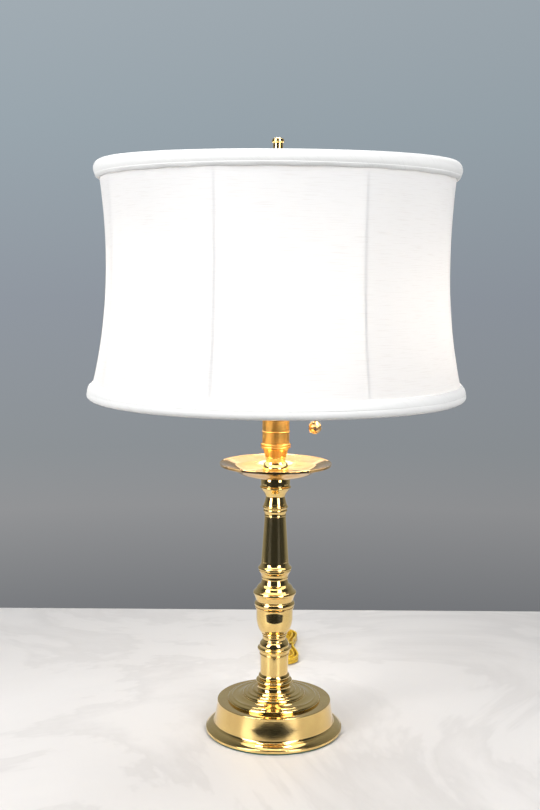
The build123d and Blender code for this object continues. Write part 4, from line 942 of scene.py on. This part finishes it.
line = bpy.data.curves.new("cord_route", "CURVE")
line.dimensions = "3D"
spline = line.splines.new("NURBS")
spline.points.add(len(route) - 1)
for point, place in zip(spline.points, route):
    point.co = (place[0] * MM, place[1] * MM, place[2] * MM, 1)
spline.order_u = 3
spline.use_endpoint_u = True
spline.resolution_u = 10
route_object = bpy.data.objects.new("cord_route", line)
bpy.context.collection.objects.link(route_object)
bpy.context.view_layer.update()
traced = bpy.data.meshes.new_from_object(route_object)
path = [vertex.co.copy() for vertex in traced.vertices]
bpy.data.meshes.remove(traced)
bpy.data.objects.remove(route_object)
lengths = [0.0]
for before, after in zip(path, path[1:]):
    lengths.append(lengths[-1] + (after - before).length)
print(f"cord: {len(route)} points, {lengths[-1]:.3f} m long")

# %% [markdown]
# The cord's section is two round cores side by side with a groove between them. It lies flat as
# it leaves the base, turns on edge where it bends from side to side in the hank, because a flat
# cord only bends easily over its thin way, and turns flat again into the plug.

# %% Twin section along the route
CORE_R = CORD_T / 2
CORE_OUT = CORD_W / 2 - CORE_R
section = [(CORE_OUT + CORE_R * math.cos(t), CORE_R * math.sin(t))
           for t in [math.radians(-135 + 270 * k / 7) for k in range(8)]]
section += [(-x, -y) for x, y in section]


def smooth_step(value):
    """Eases from 0 to 1 and stays there."""
    value = min(1.0, max(0.0, value))
    return value * value * (3 - 2 * value)


rows = []
for index, (place, gone) in enumerate(zip(path, lengths)):
    ahead = (path[min(index + 1, len(path) - 1)] - path[max(index - 1, 0)]).normalized()
    across = ahead.cross(Vector((0, 0, 1))).normalized()
    lift = across.cross(ahead)
    on_edge = smooth_step((gone - 0.04) / 0.10) * smooth_step((lengths[-1] - 0.008 - gone) / 0.05)
    turn = on_edge * math.pi / 2
    wide = across * math.cos(turn) + lift * math.sin(turn)
    thin = lift * math.cos(turn) - across * math.sin(turn)
    rows.append([place + (wide * x + thin * y) * MM for x, y in section])
count = len(section)
end = (len(rows) - 1) * count
faces = [tuple(range(count))[::-1], tuple(range(end, end + count))]
for low in range(0, end, count):
    high = low + count
    for k in range(count):
        after = (k + 1) % count
        faces.append((low + k, low + after, high + after, high + k))
tube = bpy.data.meshes.new("twin_cord")
tube.from_pydata([corner for row in rows for corner in row], [], faces)
cord = bpy.data.objects.new("twin_cord", tube)
bpy.context.collection.objects.link(cord)
bpy.ops.object.select_all(action="DESELECT")
cord.select_set(True)
bpy.context.view_layer.objects.active = cord
bpy.ops.object.mode_set(mode="EDIT")
bpy.ops.mesh.select_all(action="SELECT")
bpy.ops.mesh.normals_make_consistent(inside=False)
bpy.ops.object.mode_set(mode="OBJECT")
bpy.ops.object.shade_smooth_by_angle(angle=math.radians(60))
takes_over(cord, "cord_lead")
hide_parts("cord_hank")

# %% [markdown]
# ## Strain relief, tie and plug
# The strain relief is a soft tapered sleeve with grooves, so that it bends in a gentle arc. The
# tie is a flat paper-covered band, gold like the cord. The plug is moulded round the blades: a
# block that narrows towards the cord, with rounded edges and finger grips across it.

# %% Strain relief
grip = [(2.5, 63.8), (5.2, 63.8), (5.2, 70.0), (7.0, 70.0), (7.0, 71.5, 0.0001), (6.5, 72.0), (5.1, 72.4)]
for groove in range(5):
    low = 73.2 + groove * 3.4
    taper = 5.0 - 0.075 * (low - 72)
    grip += [(taper, low), (taper - 0.9, low + 0.4), (taper - 1.0, low + 1.1), (taper - 0.15, low + 1.5)]
grip += [(3.5, 91.4), (3.2, 92.0), (2.5, 92.0)]
relief_sleeve = turned("strain_relief", *grip, around=64, edge=0.12)
relief_sleeve.rotation_euler = (math.radians(-90), 0, 0)
relief_sleeve.location = (0, 0, 19.0 * MM)
apply_place()
takes_over(relief_sleeve, "cord_bushing")

# %% Tie round the hank
tie_low, tie_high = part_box("hank_tie")
tie_mid = [(a + b) / 2 for a, b in zip(tie_low, tie_high)]
tie_size = [b - a for a, b in zip(tie_low, tie_high)]
bpy.ops.object.select_all(action="DESELECT")
bpy.ops.mesh.primitive_cube_add(size=1, location=tie_mid,
                                scale=(tie_size[0] - 0.8 * MM, tie_size[1], tie_size[2] - 0.8 * MM))
tie = bpy.context.object
tie.name = "flat_tie"
apply_place()
pick(tie, "FACE", lambda face: abs(face.normal.y) > 0.9)
bpy.ops.mesh.delete(type="ONLY_FACE")
bpy.ops.object.mode_set(mode="OBJECT")
pick(tie, "EDGE", lambda edge: runs_along(tie, edge, 1, 1 * MM))
bpy.ops.mesh.bevel(offset=2.6 * MM, segments=6, affect="EDGES")
bpy.ops.object.mode_set(mode="OBJECT")
thick = tie.modifiers.new("thickness", "SOLIDIFY")
thick.thickness = 0.5 * MM
thick.offset = 0
bpy.ops.object.modifier_apply(modifier=thick.name)
soft_edge = tie.modifiers.new("soft edge", "BEVEL")
soft_edge.width = 0.15 * MM
soft_edge.segments = 2
bpy.ops.object.modifier_apply(modifier=soft_edge.name)
bpy.ops.object.shade_smooth_by_angle(angle=math.radians(40))
takes_over(tie, "hank_tie")

# %% Plug
PLUG_W, PLUG_L, PLUG_H, PLUG_HEAD = 22.0, 28.0, 12.0, 15.4
PLUG_STEPS = ((1.2, 0.88, 0.86), (1.6, 1.12, 1.15), (1.6, 0.88, 0.86), (1.6, 1.12, 1.15),
              (1.6, 0.88, 0.86), (5.4, 0.66, 0.84))
bpy.ops.object.select_all(action="DESELECT")
bpy.ops.mesh.primitive_cube_add(
    size=1, scale=(PLUG_W * MM, PLUG_HEAD * MM, PLUG_H * MM),
    location=(PLUG_AT[0] * MM, (PLUG_AT[1] - PLUG_L + PLUG_HEAD / 2) * MM, PLUG_AT[2] * MM))
plug = bpy.context.object
plug.name = "moulded_plug"
apply_place()
pick(plug, "FACE", lambda face: face.normal.y > 0.9)
plug_pivot = (PLUG_AT[0] * MM, 0, PLUG_AT[2] * MM)
for back, width, thickness in PLUG_STEPS:
    bpy.ops.mesh.extrude_region_move(TRANSFORM_OT_translate={"value": (0, back * MM, 0)})
    bpy.ops.transform.resize(value=(width, 1, thickness), center_override=plug_pivot)
bpy.ops.object.mode_set(mode="OBJECT")
plug_edge = plug.modifiers.new("moulded edge", "BEVEL")
plug_edge.width = 0.7 * MM
plug_edge.segments = 3
plug_edge.angle_limit = math.radians(40)
bpy.ops.object.modifier_apply(modifier=plug_edge.name)
bpy.ops.object.shade_smooth_by_angle(angle=math.radians(35))
takes_over(plug, "plug_body")

# %% [markdown]
# ## What stays from the CAD
# Nuts, rod, wires, bead chains and the sockets' insides already have the right shape, so they
# keep it and only get their finish, one by one from the record.

# %% Finish the CAD nodes
for name, node in frame["nodes"].items():
    if not node.material_slots:
        node.data.materials.append(FINISH[SLOT_OF[name]])
    for slot in node.material_slots:
        slot.material = FINISH[SLOT_OF[name]]
print(len(frame["nodes"]), "CAD nodes have their finish")
